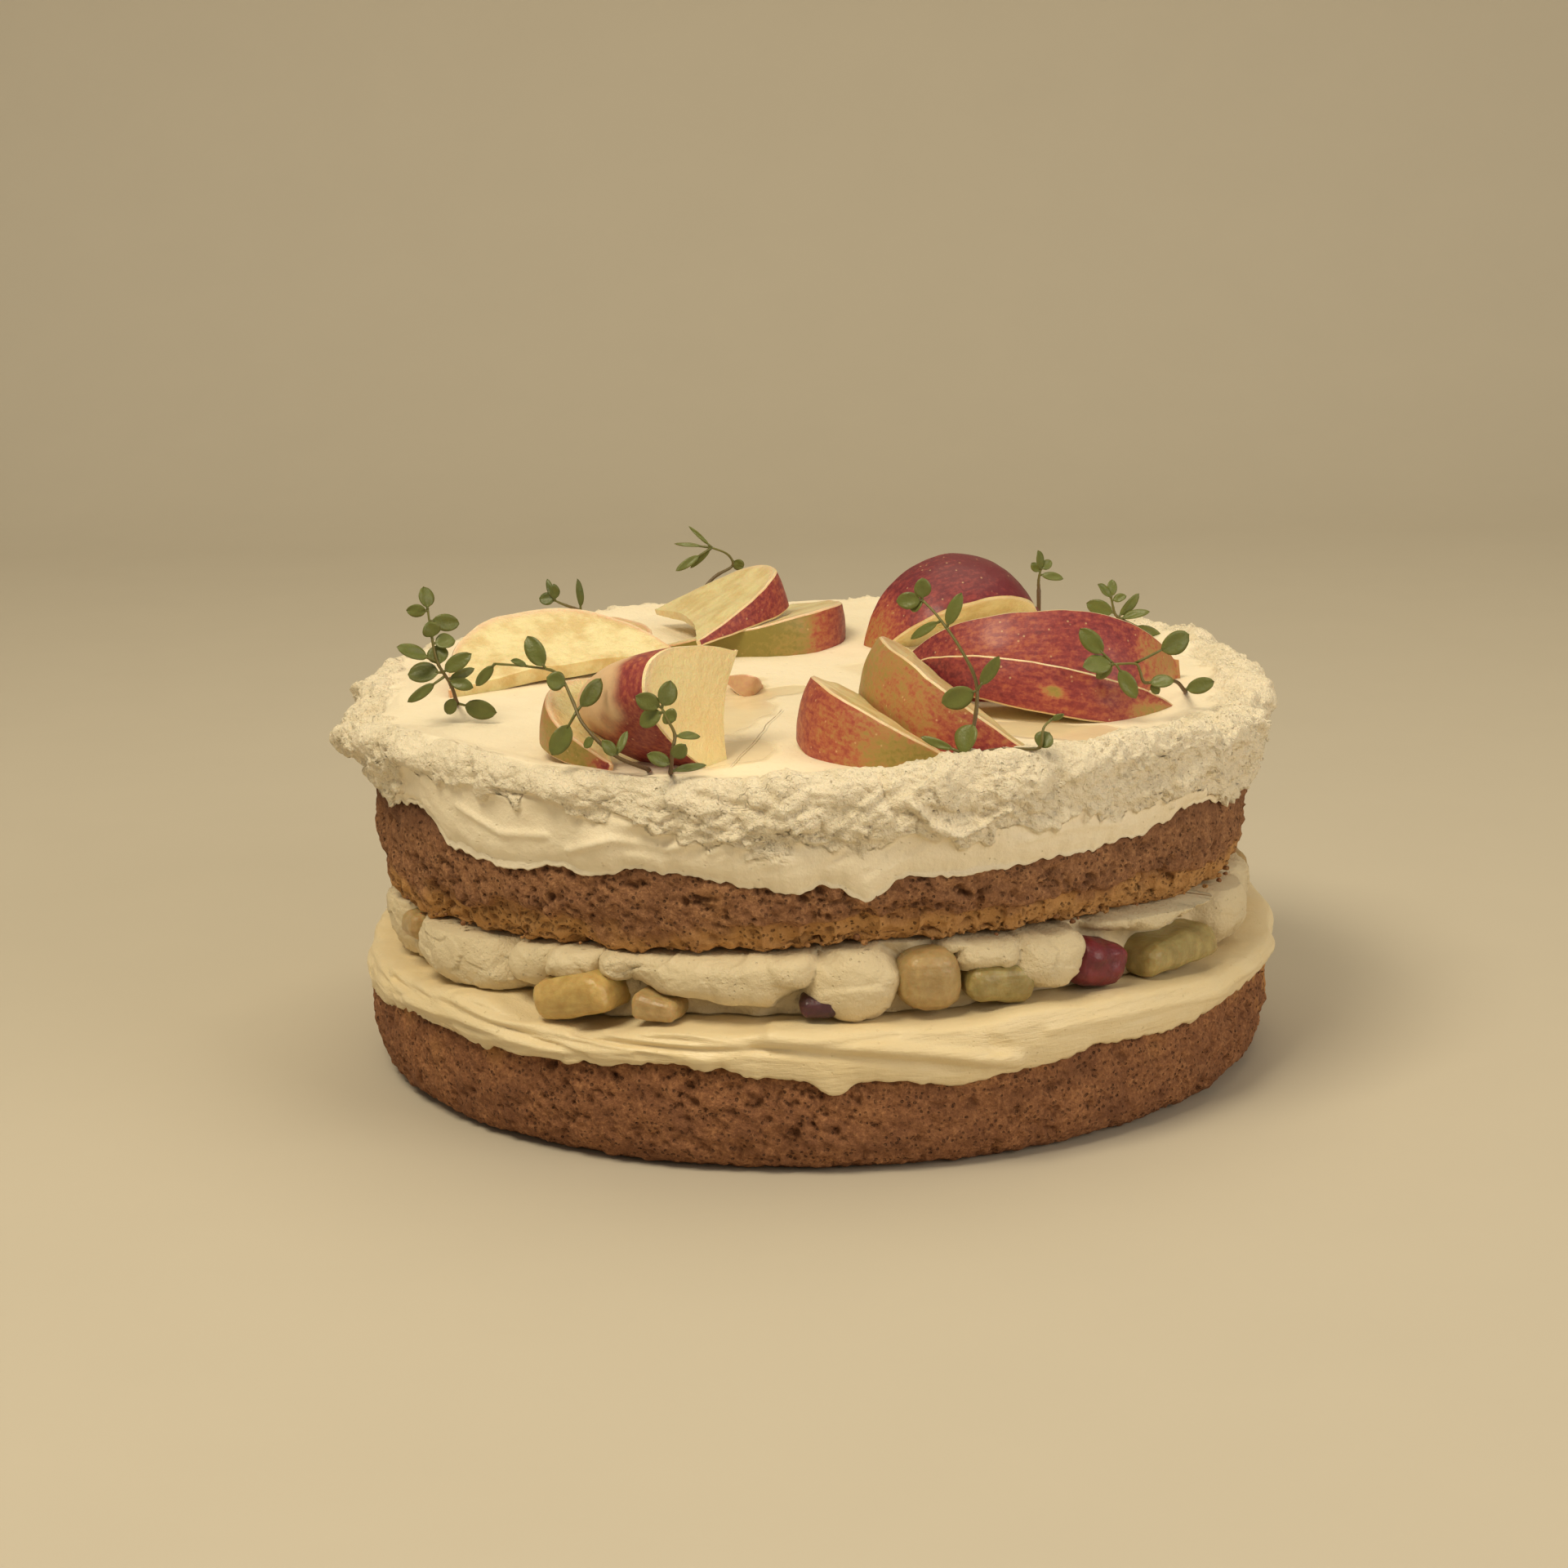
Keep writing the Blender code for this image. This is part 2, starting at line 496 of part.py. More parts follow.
def wedge_mesh(name, length, opening, apple_radius):
    """A wedge of apple along X, skin up: the skin bulges, two flat cuts meet where the core is cut away."""
    half = math.radians(opening) / 2
    points = []
    for station in range(WEDGE_STATIONS + 1):
        along = math.cos(math.pi * (1 - station / WEDGE_STATIONS))  # stations are closer near the ends
        skin = apple_radius * (1 - abs(along) ** 2.4) ** 0.62
        core = WEDGE_CORE * (1 - 0.45 * along * along)
        skin = max(skin, core + 0.8 * MM)
        middle = (WEDGE_CORE + apple_radius) / 2
        for k in range(WEDGE_ARC):
            angle = half * (2 * k / (WEDGE_ARC - 1) - 1)
            points.append(Vector((along * length / 2, skin * math.sin(angle), skin * math.cos(angle) - middle)))
        for side in (1, -1):
            points.append(
                Vector((along * length / 2, side * core * math.sin(half), core * math.cos(half) - middle))
            )
    ring = WEDGE_ARC + 2
    faces = [tuple(range(ring)), tuple(range(len(points) - 1, len(points) - ring - 1, -1))]
    for station in range(WEDGE_STATIONS):
        for k in range(ring):
            low, high = station * ring, (station + 1) * ring
            following = (k + 1) % ring
            faces.append((low + k, high + k, high + following, low + following))
    return mesh_of(name, points, faces)


def build_wedges(apple):
    wedges = []
    for name, x, y, turn, roll, pitch, length, opening, apple_radius, sunk in WEDGES:
        obj = add_object(name, wedge_mesh(name, length * MM, opening, apple_radius * MM), apple)
        tilt = (
            Matrix.Rotation(math.radians(turn), 3, "Z")
            @ Matrix.Rotation(math.radians(-pitch), 3, "Y")
            @ Matrix.Rotation(math.radians(roll), 3, "X")
        )
        place = Vector((x * MM, y * MM, 0))
        lowest = min((tilt @ vertex.co).z for vertex in obj.data.vertices)
        place.z = cream_surface(place) - sunk * MM - lowest
        obj.matrix_world = Matrix.Translation(place) @ tilt.to_4x4()
        wedges.append(obj)
    return wedges


# ---------------------------------------------------------------- thyme


def along_stem(points, share):
    """A point on the smooth line through the stem's points, and the line's direction there."""
    spans = len(points) - 1
    place = min(max(share, 0), 1) * spans
    k = min(int(place), spans - 1)
    t = place - k
    p1, p2 = points[k], points[k + 1]
    p0 = points[k - 1] if k else p1 * 2 - p2
    p3 = points[k + 2] if k + 2 <= spans else p2 * 2 - p1
    point = 0.5 * (2 * p1 + (p2 - p0) * t + (2 * p0 - 5 * p1 + 4 * p2 - p3) * t**2 + (3 * p1 - p0 - 3 * p2 + p3) * t**3)
    slope = 0.5 * ((p2 - p0) + 2 * (2 * p0 - 5 * p1 + 4 * p2 - p3) * t + 3 * (3 * p1 - p0 - 3 * p2 + p3) * t**2)
    return point, slope.normalized()


def along_twig(points, share):
    """A point on the straight stretches that make up the twig, and the direction there."""
    place = min(share, 0.98) * (STEM_POINTS - 1)
    k = int(place)
    start, _ = along_stem(points, k / (STEM_POINTS - 1))
    end, _ = along_stem(points, (k + 1) / (STEM_POINTS - 1))
    return start.lerp(end, place - k), (end - start).normalized()


def stem_mesh(name, points):
    """A tapering twig along the stem's line, with its foot in the cream straight below the line's start."""
    foot = points[0].copy()
    foot.z = cream_surface(foot) - ROOT_DEPTH
    rings, faces = [], []
    for k in range(STEM_POINTS + 1):
        share = max(k - 1, 0) / (STEM_POINTS - 1)
        centre, direction = along_stem(points, share)
        if k == 0:
            centre, direction = foot, Vector((0, 0, 1))
        across = direction.cross(Vector((0, 1, 0))).normalized()
        other = direction.cross(across)
        radius = STEM_RADIUS * (1.1 - 0.4 * share)
        for side in range(STEM_SIDES):
            angle = 2 * math.pi * side / STEM_SIDES
            rings.append(centre + radius * (math.cos(angle) * across + math.sin(angle) * other))
    for k in range(STEM_POINTS):
        for side in range(STEM_SIDES):
            following = (side + 1) % STEM_SIDES
            low, high = k * STEM_SIDES, (k + 1) * STEM_SIDES
            faces.append((low + side, low + following, high + following, high + side))
    faces.append(tuple(range(STEM_SIDES - 1, -1, -1)))
    faces.append(tuple(range(len(rings) - STEM_SIDES, len(rings))))
    return mesh_of(name, rings, faces)


def leaf_mesh(name, base, bearing, lean, reach, width):
    """A small cupped leaf, thickest along its middle, that starts inside the stem, on a stalk if it reaches far."""
    forward = Vector((math.cos(bearing), 0.8 * math.sin(lean), math.sin(bearing))).normalized()
    facing = Vector((0.25 * math.sin(bearing), -1, 0.35))
    side = forward.cross(facing).normalized()
    face = side.cross(forward).normalized()
    stalk = max(0, 1 - BLADE_LENGTH / reach)
    half = width / 2
    stations = [(stalk + (1 - stalk) * 0.34, 0.8), (stalk + (1 - stalk) * 0.7, 1.0)]
    if stalk > 0.1:
        stations.insert(0, (stalk, 0.22))
    points = [base, base + forward * reach]
    for share, wide in stations:
        middle = base + forward * (reach * share)
        lift = face * (0.2 * half * wide)
        thick = LEAF_THICKNESS / 2 * (0.6 + 0.4 * wide)
        points += [
            middle - side * half * wide + lift,
            middle + side * half * wide + lift,
            middle + face * thick,
            middle - face * thick,
        ]
    faces = []
    for centre, flip in ((4, False), (5, True)):
        triangles = [(0, 2, centre), (0, centre, 3)]
        for k in range(len(stations) - 1):
            low, high = 4 * k, 4 * (k + 1)
            triangles += [
                (low + 2, high + 2, low + centre),
                (high + 2, high + centre, low + centre),
                (low + centre, high + centre, low + 3),
                (high + centre, high + 3, low + 3),
            ]
        last = 4 * (len(stations) - 1)
        triangles += [(last + 2, 1, last + centre), (last + centre, 1, last + 3)]
        faces += [triangle[::-1] if flip else triangle for triangle in triangles]
    mesh = mesh_of(name, points, faces)
    work = bmesh.new()
    work.from_mesh(mesh)
    bmesh.ops.recalc_face_normals(work, faces=work.faces)
    work.to_mesh(mesh)
    work.free()
    return mesh


def build_thyme(leaf_green):
    sprigs = []
    for name, points, leaves in SPRIGS:
        points = [Vector(p) * MM for p in points]
        stem = add_object(name, stem_mesh(name, points), leaf_green, smooth=False)
        joined = bpy.data.collections.new(name + "_leaves")
        bpy.context.scene.collection.children.link(joined)
        for number, (share, bearing, lean, reach, width) in enumerate(leaves):
            base, direction = along_twig(points, share)
            mesh = leaf_mesh(
                f"{name}_leaf_{number}",
                base - direction * 0.1 * MM,
                math.radians(bearing),
                math.radians(lean),
                reach * MM,
                width * MM,
            )
            joined.objects.link(bpy.data.objects.new(mesh.name, mesh))
        union = stem.modifiers.new("leaves", "BOOLEAN")
        union.operation = "UNION"
        union.operand_type = "COLLECTION"
        union.collection = joined
        union.solver = "MANIFOLD"
        apply_modifiers(stem)
        for obj in list(joined.objects):
            bpy.data.objects.remove(obj)
        bpy.data.collections.remove(joined)
        sprigs.append(stem)
    return sprigs


def apply_modifiers(obj):
    bpy.context.view_layer.update()
    graph = bpy.context.evaluated_depsgraph_get()
    mesh = bpy.data.meshes.new_from_object(obj.evaluated_get(graph))
    obj.modifiers.clear()
    obj.data = mesh


def main():
    clear_scene()
    golden = material("sponge", (0.42, 0.20, 0.07), 0.85)
    brown = material("sponge_crust", (0.34, 0.14, 0.05), 0.85)
    ivory = material("whipped_cream", (0.86, 0.78, 0.60), 0.6)
    custard = material("custard_cream", (0.85, 0.72, 0.45), 0.5)
    soft = material("soft_fruit", (0.58, 0.46, 0.20), 0.4)
    red = material("red_fruit", (0.33, 0.05, 0.06), 0.4)
    apple = material("apple_skin", (0.55, 0.12, 0.08), 0.3)
    green = material("thyme", (0.10, 0.20, 0.05), 0.5)
    filling, top = build_layers(golden, brown, custard, ivory)
    chunks = build_chunks(soft, red)
    wedges = build_wedges(apple)
    sprigs = build_thyme(green)
    bpy.context.view_layer.update()
    keep_clear(filling, chunks, POCKET_GAP)
    by_name = {wedge.name: wedge for wedge in wedges}
    for piece in wedges + sprigs:
        against = [by_name[other] for name, other in LEANING if name == piece.name]
        keep_clear(piece, [top] + against, GAP)


main()
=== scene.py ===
import math

import bmesh
import bpy
import numpy as np
from mathutils import Matrix, Vector, noise


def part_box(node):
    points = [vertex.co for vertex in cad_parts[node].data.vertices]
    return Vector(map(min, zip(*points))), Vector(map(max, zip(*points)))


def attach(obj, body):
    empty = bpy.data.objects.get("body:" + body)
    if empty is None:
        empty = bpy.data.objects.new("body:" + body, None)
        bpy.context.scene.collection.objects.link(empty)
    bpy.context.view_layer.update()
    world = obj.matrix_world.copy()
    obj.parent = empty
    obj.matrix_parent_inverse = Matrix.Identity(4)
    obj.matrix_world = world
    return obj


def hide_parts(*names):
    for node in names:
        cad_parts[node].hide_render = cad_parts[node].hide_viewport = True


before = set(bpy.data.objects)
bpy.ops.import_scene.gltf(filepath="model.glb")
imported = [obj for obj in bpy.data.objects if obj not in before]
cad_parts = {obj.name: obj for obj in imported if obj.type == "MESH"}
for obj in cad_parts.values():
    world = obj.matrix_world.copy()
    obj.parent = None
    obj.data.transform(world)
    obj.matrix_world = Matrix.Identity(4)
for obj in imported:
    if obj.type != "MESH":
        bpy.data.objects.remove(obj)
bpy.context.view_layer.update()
print("stage: frame loaded")

# Sizes are millimetres and become metres in addPiece. Azimuths are degrees seen from above:
# 0 is the front (-Y) and 90 the right-hand side (+X).
mm = 0.001
gap = 0.4  # kept between layers that touch

levels = dict(
    baseTop=24.0,  # top of the bottom sponge
    fillingFloor=30.2,  # top of the lower cream, at the centre
    fillingRoof=43.5,  # underside of the top sponge, at the centre
    spongeTop=67.0,
    creamTop=81.0,
    creamSlope=0.02,  # the top cream rises this much towards the back
)
radii = dict(
    base=100.0,
    upper=96.5,
    filling=88.0,
    uneven=0.6,  # of the sponges' sides
    upperShift=np.array([-1.0, 0.0, 0.0]),  # the top sponge and its cream sit a little to the left
)


# the noise below works on whole arrays of points
drawn = np.random.default_rng(11)
shuffled = drawn.permutation(256)
slopes = drawn.normal(size=(256, 3))
slopes /= np.linalg.norm(slopes, axis=1, keepdims=True)
scattered = drawn.random((256, 3))


def cellIndex(cell):
    x, y, z = np.moveaxis(cell & 255, -1, 0)
    return shuffled[(shuffled[(shuffled[x] + y) & 255] + z) & 255]


def wavy(points, size, seed=0.0):
    # smooth unevenness, mostly within -1 to 1, with lumps about size across
    place = points / np.asarray(size, float) + 11.37 * seed
    cell = np.floor(place).astype(int)
    part = place - cell
    ease = part**3 * (part * (part * 6 - 15) + 10)
    total = np.zeros(points.shape[:-1])
    for step in np.ndindex(2, 2, 2):
        corner = np.array(step)
        weight = np.prod(np.where(corner, ease, 1 - ease), axis=-1)
        total += weight * (slopes[cellIndex(cell + corner)] * (part - corner)).sum(-1)
    return total * 1.7


def nearby(points, size, seed):
    # goes through the 27 cells round each point, each of which has one scattered point: gives the
    # cells' index, the way from the scattered point, and its distance squared
    place = points / np.asarray(size, float) + 5.71 * seed
    cell = np.floor(place).astype(int)
    for step in np.ndindex(3, 3, 3):
        at = cell + np.array(step) - 1
        index = cellIndex(at)
        offset = place - at - scattered[index]
        yield index, offset, (offset**2).sum(-1)


def cells(points, size, seed=0.0):
    # distance to the nearest of scattered points, in cells: 0 at a point, about 1 far from all of them
    nearest = np.full(points.shape[:-1], 9.0)
    for _, _, away in nearby(points, size, seed):
        nearest = np.minimum(nearest, away)
    return np.sqrt(nearest)


def cracks(points, size, seed=0.0):
    # 0 on the lines midway between scattered points, rising to about 1 away from them
    nearest = np.full(points.shape[:-1], 9.0)
    second = nearest.copy()
    for _, _, away in nearby(points, size, seed):
        second = np.minimum(second, np.maximum(nearest, away))
        nearest = np.minimum(nearest, away)
    return np.sqrt(second) - np.sqrt(nearest)


def facets(points, size, seed=0.0):
    # broken flats, about -1 to 1: the cell round each scattered point has its own height and slant
    nearest = np.full(points.shape[:-1], 9.0)
    height = np.zeros(points.shape[:-1])
    for index, offset, away in nearby(points, size, seed):
        flat = 1.1 * slopes[index][..., 0] + 1.3 * (slopes[index] * offset).sum(-1)
        height = np.where(away < nearest, flat, height)
        nearest = np.minimum(nearest, away)
    return height


def stirred(points, size, amount, seed):
    # the points moved about smoothly, so that a pattern laid on them loses its regular look
    return points + amount * np.stack([wavy(points, size, seed + k) for k in range(3)], -1)


def smooth(low, high, value):
    share = np.clip((value - low) / (high - low), 0, 1)
    return share * share * (3 - 2 * share)


def between(value, rise, fall):
    # 1 in a stretch that starts over the two places in rise and ends over the two in fall, 0 outside it
    return smooth(*rise, value) * smooth(*fall, value)


def terraces(value, edge=0.16):
    # turns a slope into flats with steep edges between them
    whole = np.floor(value)
    return whole + smooth(0.5 - edge, 0.5 + edge, value - whole)


def lumps(points, size, seed):
    # the same unevenness that the solids have
    points = np.asarray(points, float)
    shift = np.array([seed, 2.3 * seed, -seed])
    flat = points.reshape(-1, 3) / size + shift
    return np.array([noise.noise(Vector(p)) for p in flat]).reshape(points.shape[:-1])


def signed(azimuths):
    # the same azimuths as -180 to 180
    return (azimuths + 180) % 360 - 180


def around(pairs, azimuths):
    # the value at each azimuth, eased between the nearest two of (azimuth, value) pairs
    ordered = sorted((a % 360, value) for a, value in pairs)
    starts = np.array([a for a, _ in ordered], float)
    values = np.array([value for _, value in ordered], float)
    azimuths = np.asarray(azimuths, float) % 360
    k = np.searchsorted(starts, azimuths, side="right") - 1
    following = (k + 1) % len(starts)
    span = (starts[following] - starts[k]) % 360
    share = (1 - np.cos(np.pi * ((azimuths - starts[k]) % 360) / span)) / 2
    return values[k] + (values[following] - values[k]) * share


def curveAt(a, b, c, d, t):
    # the smooth curve from b, where t is 0, to c, where it is 1, with a and d as the points beyond
    square, cube = 2 * a - 5 * b + 4 * c - d, 3 * b - a - 3 * c + d
    return (2 * b + (c - a) * t + square * t**2 + cube * t**3) / 2


def evenAzimuths(turns):
    return np.arange(turns) * 360 / turns


def pointsAt(azimuths, radius, z):
    angle, radius, z = np.broadcast_arrays(np.radians(azimuths), radius, z)
    return np.stack([radius * np.sin(angle), -radius * np.cos(angle), z], -1)


def fineRows(keys, counts):
    # a smooth curve through key rows, with counts[k] rows in stretch k
    before, after = 2 * keys[:, :1] - keys[:, 1:2], 2 * keys[:, -1:] - keys[:, -2:-1]
    padded = np.concatenate([before, keys, after], axis=1)
    rows, places = [], []
    for k, count in enumerate(counts):
        a, b, c, d = (padded[:, k + j, None, :] for j in range(4))
        t = (np.arange(count) / count)[None, :, None]
        rows.append(curveAt(a, b, c, d, t))
        places.append(k + t[0, :, 0])
    rows.append(keys[:, -1:])
    places.append(np.array([len(counts)]))
    return np.concatenate(rows, axis=1), np.concatenate(places)


def layerGrid(azimuths, keyRows, counts):
    # a grid of points round the cake, [turn, row], from (radius, z) key rows, and each row's place
    pairs = [np.broadcast_arrays(radius + 0 * azimuths, z) for radius, z in keyRows]
    keys = np.stack([np.stack(pair, -1) for pair in pairs], axis=1)
    rows, places = fineRows(keys, counts)
    return pointsAt(azimuths[:, None], rows[..., 0], rows[..., 1]), places


def turned(degrees, axis):
    return Matrix.Rotation(math.radians(degrees), 3, axis)


def outward(grid):
    along = np.roll(grid, -1, 0) - np.roll(grid, 1, 0)
    normal = np.cross(np.gradient(grid, axis=1), along)
    return normal / np.maximum(np.linalg.norm(normal, axis=-1, keepdims=True), 1e-9)


def gridFaces(turns, rows, first=0):
    index = first + np.arange(turns * rows).reshape(turns, rows)
    following = np.roll(index, -1, 0)
    quads = np.stack([index[:, :-1], index[:, 1:], following[:, 1:], following[:, :-1]], -1)
    return quads.reshape(-1, 4).tolist()


def layerMesh(grid, topZ, bottomZ, middle=None, middleTop=None):
    # closes a layer's grid; a coarser middle grid may fill the top
    turns, rows = grid.shape[:2]
    points = grid.reshape(-1, 3)
    faces = gridFaces(turns, rows)
    ends = np.arange(turns) * rows
    bottom = len(points)
    points = np.vstack([points, [[0, 0, bottomZ]]])
    last = ends + rows - 1
    faces += [(bottom, int(b), int(a)) for a, b in zip(last, np.roll(last, -1))]
    if middle is None:
        top = len(points)
        points = np.vstack([points, [[0, 0, topZ]]])
        faces += [(top, int(a), int(b)) for a, b in zip(ends, np.roll(ends, -1))]
        return points, faces
    coarse, steps = middle.shape[:2]
    first, every = len(points), turns // coarse
    points = np.vstack([points, middle.reshape(-1, 3), [[0, 0, middleTop]]])
    faces += gridFaces(coarse, steps, first)
    inner = first + np.arange(coarse) * steps
    outer = inner + steps - 1
    top = len(points) - 1
    for k in range(coarse):
        after = (k + 1) % coarse
        faces.append((top, int(inner[k]), int(inner[after])))
        rim = [int(ends[(k * every + j) % turns]) for j in range(every + 1)]
        faces.append((int(outer[k]), *rim, int(outer[after])))
    return points, faces


def layerField(values):
    # a grid's values as one row, with 0 for the two points that close the layer
    return np.append(values.ravel(), [0, 0])


def addPiece(name, points, faces, materials, nodes, fields=None, faceMaterials=None, sharp=None):
    # makes a mesh in metres, gives it its per-point fields, and ties it to the frame
    mesh = bpy.data.meshes.new(name)
    mesh.from_pydata((np.asarray(points) * mm).tolist(), [], faces)
    for made in materials:
        mesh.materials.append(made)
    if faceMaterials is not None:
        mesh.polygons.foreach_set("material_index", faceMaterials)
    for field, values in (fields or {}).items():
        values = np.asarray(values, np.float32)
        kind = "FLOAT" if values.ndim == 1 else "FLOAT_VECTOR"
        layer = mesh.attributes.new(field, kind, "POINT")
        layer.data.foreach_set("value" if kind == "FLOAT" else "vector", values.ravel())
    mesh.validate()
    mesh.shade_smooth()
    if sharp:
        mesh.set_sharp_from_angle(angle=math.radians(sharp))
    piece = bpy.data.objects.new(name, mesh)
    bpy.context.scene.collection.objects.link(piece)
    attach(piece, "root")
    if nodes:
        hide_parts(*nodes)
    return piece


def linear(colour):
    # a colour as a paint program gives it, 0 to 255, to the shader's own values
    share = np.array(colour) / 255
    return (*np.where(share <= 0.04045, share / 12.92, ((share + 0.055) / 1.055) ** 2.4).tolist(), 1.0)


def newMaterial(name, **settings):
    made = bpy.data.materials.new(name)
    made.use_nodes = True
    shader = made.node_tree.nodes["Principled BSDF"]
    for socket, value in settings.items():
        shader.inputs[socket.replace("_", " ")].default_value = value
    return made, made.node_tree, shader


def addNode(tree, kind, inputs=None, **settings):
    made = tree.nodes.new("ShaderNode" + kind)
    for name, value in settings.items():
        setattr(made, name, value)
    for socket, value in (inputs or {}).items():
        if isinstance(value, bpy.types.NodeSocket):
            tree.links.new(value, made.inputs[socket])
        else:
            made.inputs[socket].default_value = value
    return made


def field(tree, name, output="Fac"):
    return addNode(tree, "Attribute", attribute_name=name).outputs[output]


def objectPlace(tree):
    return addNode(tree, "TexCoord").outputs["Object"]


def grain(tree, place, size, detail=3.0, rough=0.55):
    # noise with lumps about size millimetres across
    inputs = {"Vector": place, "Scale": 1 / (size * mm), "Detail": detail, "Roughness": rough}
    return addNode(tree, "TexNoise", inputs).outputs["Fac"]


def speckle(tree, place, size):
    return addNode(tree, "TexVoronoi", {"Vector": place, "Scale": 1 / (size * mm)}).outputs["Distance"]


def spread(tree, value, low, high, toLow=0.0, toHigh=1.0):
    inputs = {0: value, 1: low, 2: high, 3: toLow, 4: toHigh}
    return addNode(tree, "MapRange", inputs, interpolation_type="SMOOTHSTEP").outputs[0]


def combine(tree, operation, first, second):
    return addNode(tree, "Math", {0: first, 1: second}, operation=operation).outputs[0]


def times(tree, first, second):
    return combine(tree, "MULTIPLY", first, second)


def plus(tree, first, second):
    return combine(tree, "ADD", first, second)


def without(tree, whole, part):
    return combine(tree, "SUBTRACT", whole, part)


def dot(tree, first, second):
    made = addNode(tree, "VectorMath", {0: first, 1: second}, operation="DOT_PRODUCT")
    return made.outputs["Value"]


def blendColours(tree, share, first, second, way="MIX"):
    made = addNode(tree, "Mix", {0: share, 6: first, 7: second}, data_type="RGBA", blend_type=way)
    return made.outputs[2]


def painted(tree, colour, *coats):
    # lays more colours over a colour, each as (share, colour)
    for share, coat in coats:
        colour = blendColours(tree, share, colour, linear(coat))
    return colour


def ramp(tree, value, stops):
    made = addNode(tree, "ValToRGB", {"Fac": value})
    elements = made.color_ramp.elements
    for _ in range(len(stops) - 2):
        elements.new(0.5)
    for element, (place, colour) in zip(elements, stops):
        element.position = place
        element.color = linear(colour)
    return made.outputs["Color"]


def relief(tree, shader, *heights):
    # stacks bumps: each is (height socket, distance in millimetres)
    normal = None
    for height, distance in heights:
        inputs = {"Height": height, "Distance": distance * mm, "Strength": 1.0}
        if normal is not None:
            inputs["Normal"] = normal
        normal = addNode(tree, "Bump", inputs).outputs["Normal"]
    tree.links.new(normal, shader.inputs["Normal"])
    return normal


camera = dict(
    place=(-0.0070, -0.7158, 0.2209),
    down=12.83,  # degrees below the horizon
    turn=-0.0193,  # radians about the line of sight
    lens=75.0,
)


def addCamera():
    data = bpy.data.cameras.new("camera")
    data.lens = camera["lens"]
    data.sensor_width = 36
    data.sensor_fit = "HORIZONTAL"
    data.clip_start, data.clip_end = 0.01, 20
    made = bpy.data.objects.new("camera", data)
    tilt = Matrix.Rotation(math.radians(90 - camera["down"]), 4, "X")
    tilt = tilt @ Matrix.Rotation(camera["turn"], 4, "Z")
    made.matrix_world = Matrix.Translation(camera["place"]) @ tilt
    bpy.context.scene.collection.objects.link(made)
    bpy.context.scene.camera = made


lights = dict(
    # name: place, what it points at, width, height, power, colour
    key=((-0.42, -0.52, 1.08), (0, 0, 0.06), 0.5, 0.45, 10.0, (1.0, 0.885, 0.66)),
    side=((0.92, -0.66, 0.46), (0, 0, 0.05), 0.7, 0.6, 4.8, (1.0, 0.91, 0.78)),
    top=((0.15, 0.35, 1.1), (0, 0, 0.06), 0.8, 0.8, 3.6, (1.0, 0.88, 0.63)),
)
worldLight = dict(colour=(1.0, 0.92, 0.76, 1.0), strength=0.29)


def addLights():
    for name, (place, target, width, height, power, colour) in lights.items():
        data = bpy.data.lights.new(name, "AREA")
        data.shape = "RECTANGLE"
        data.size, data.size_y = width, height
        data.energy = power
        data.color = colour
        made = bpy.data.objects.new(name, data)
        made.location = place
        made.rotation_euler = (Vector(target) - Vector(place)).to_track_quat("-Z", "Y").to_euler()
        bpy.context.scene.collection.objects.link(made)
    world = bpy.data.worlds.new("studio")
    world.use_nodes = True
    sky = world.node_tree.nodes["Background"]
    sky.inputs["Color"].default_value = worldLight["colour"]
    sky.inputs["Strength"].default_value = worldLight["strength"]
    bpy.context.scene.world = world


backdrop = dict(
    near=-1.2,
    back=1.1,
    bend=0.35,
    height=1.6,
    halfWidth=2.2,
    colour=(192, 182, 163),
    steps=10,
)


def addBackdrop():
    # a floor that curves up into a wall
    b = backdrop
    profile = [(b["near"], 0.0), (b["back"] - b["bend"], 0.0)]
    for k in range(1, b["steps"] + 1):
        angle = math.pi / 2 * k / b["steps"]
        reach = b["bend"] * math.sin(angle)
        profile.append((b["back"] - b["bend"] + reach, b["bend"] * (1 - math.cos(angle))))
    profile.append((b["back"], b["height"]))
    points = [(x, y, z) for y, z in profile for x in (-b["halfWidth"], b["halfWidth"])]
    faces = [(2 * k, 2 * k + 1, 2 * k + 3, 2 * k + 2) for k in range(len(profile) - 1)]
    mesh = bpy.data.meshes.new("backdrop")
    mesh.from_pydata(points, [], faces)
    mesh.shade_smooth()
    made, tree, shader = newMaterial("backdropPaint", Roughness=0.8)
    tone = grain(tree, objectPlace(tree), 40, 4)
    colour = np.array(linear(b["colour"]))
    paler = (*(colour[:3] * 1.04).tolist(), 1.0)
    tree.links.new(blendColours(tree, tone, tuple(colour.tolist()), paler), shader.inputs["Base Color"])
    mesh.materials.append(made)
    floor = bpy.data.objects.new("backdrop", mesh)
    bpy.context.scene.collection.objects.link(floor)


addCamera()
addLights()
addBackdrop()
bpy.context.scene.view_settings.view_transform = "Standard"
print("stage: camera, light and floor")


spongeLook = dict(
    # painted shade for the pits and holes
    pit=(90, 58, 38),
    dark=(112, 74, 51),
    mid=(147, 103, 71),
    light=(186, 137, 96),
    golden=(206, 156, 96),
    crust=(118, 80, 58),
    # tints over the whole of the bottom sponge, the top sponge and the loose crumbs
    baseTint=(1.0, 0.93, 0.88),
    topTint=(1.0, 1.0, 1.0),
    crumbTint=(1.0, 1.0, 0.98),
)


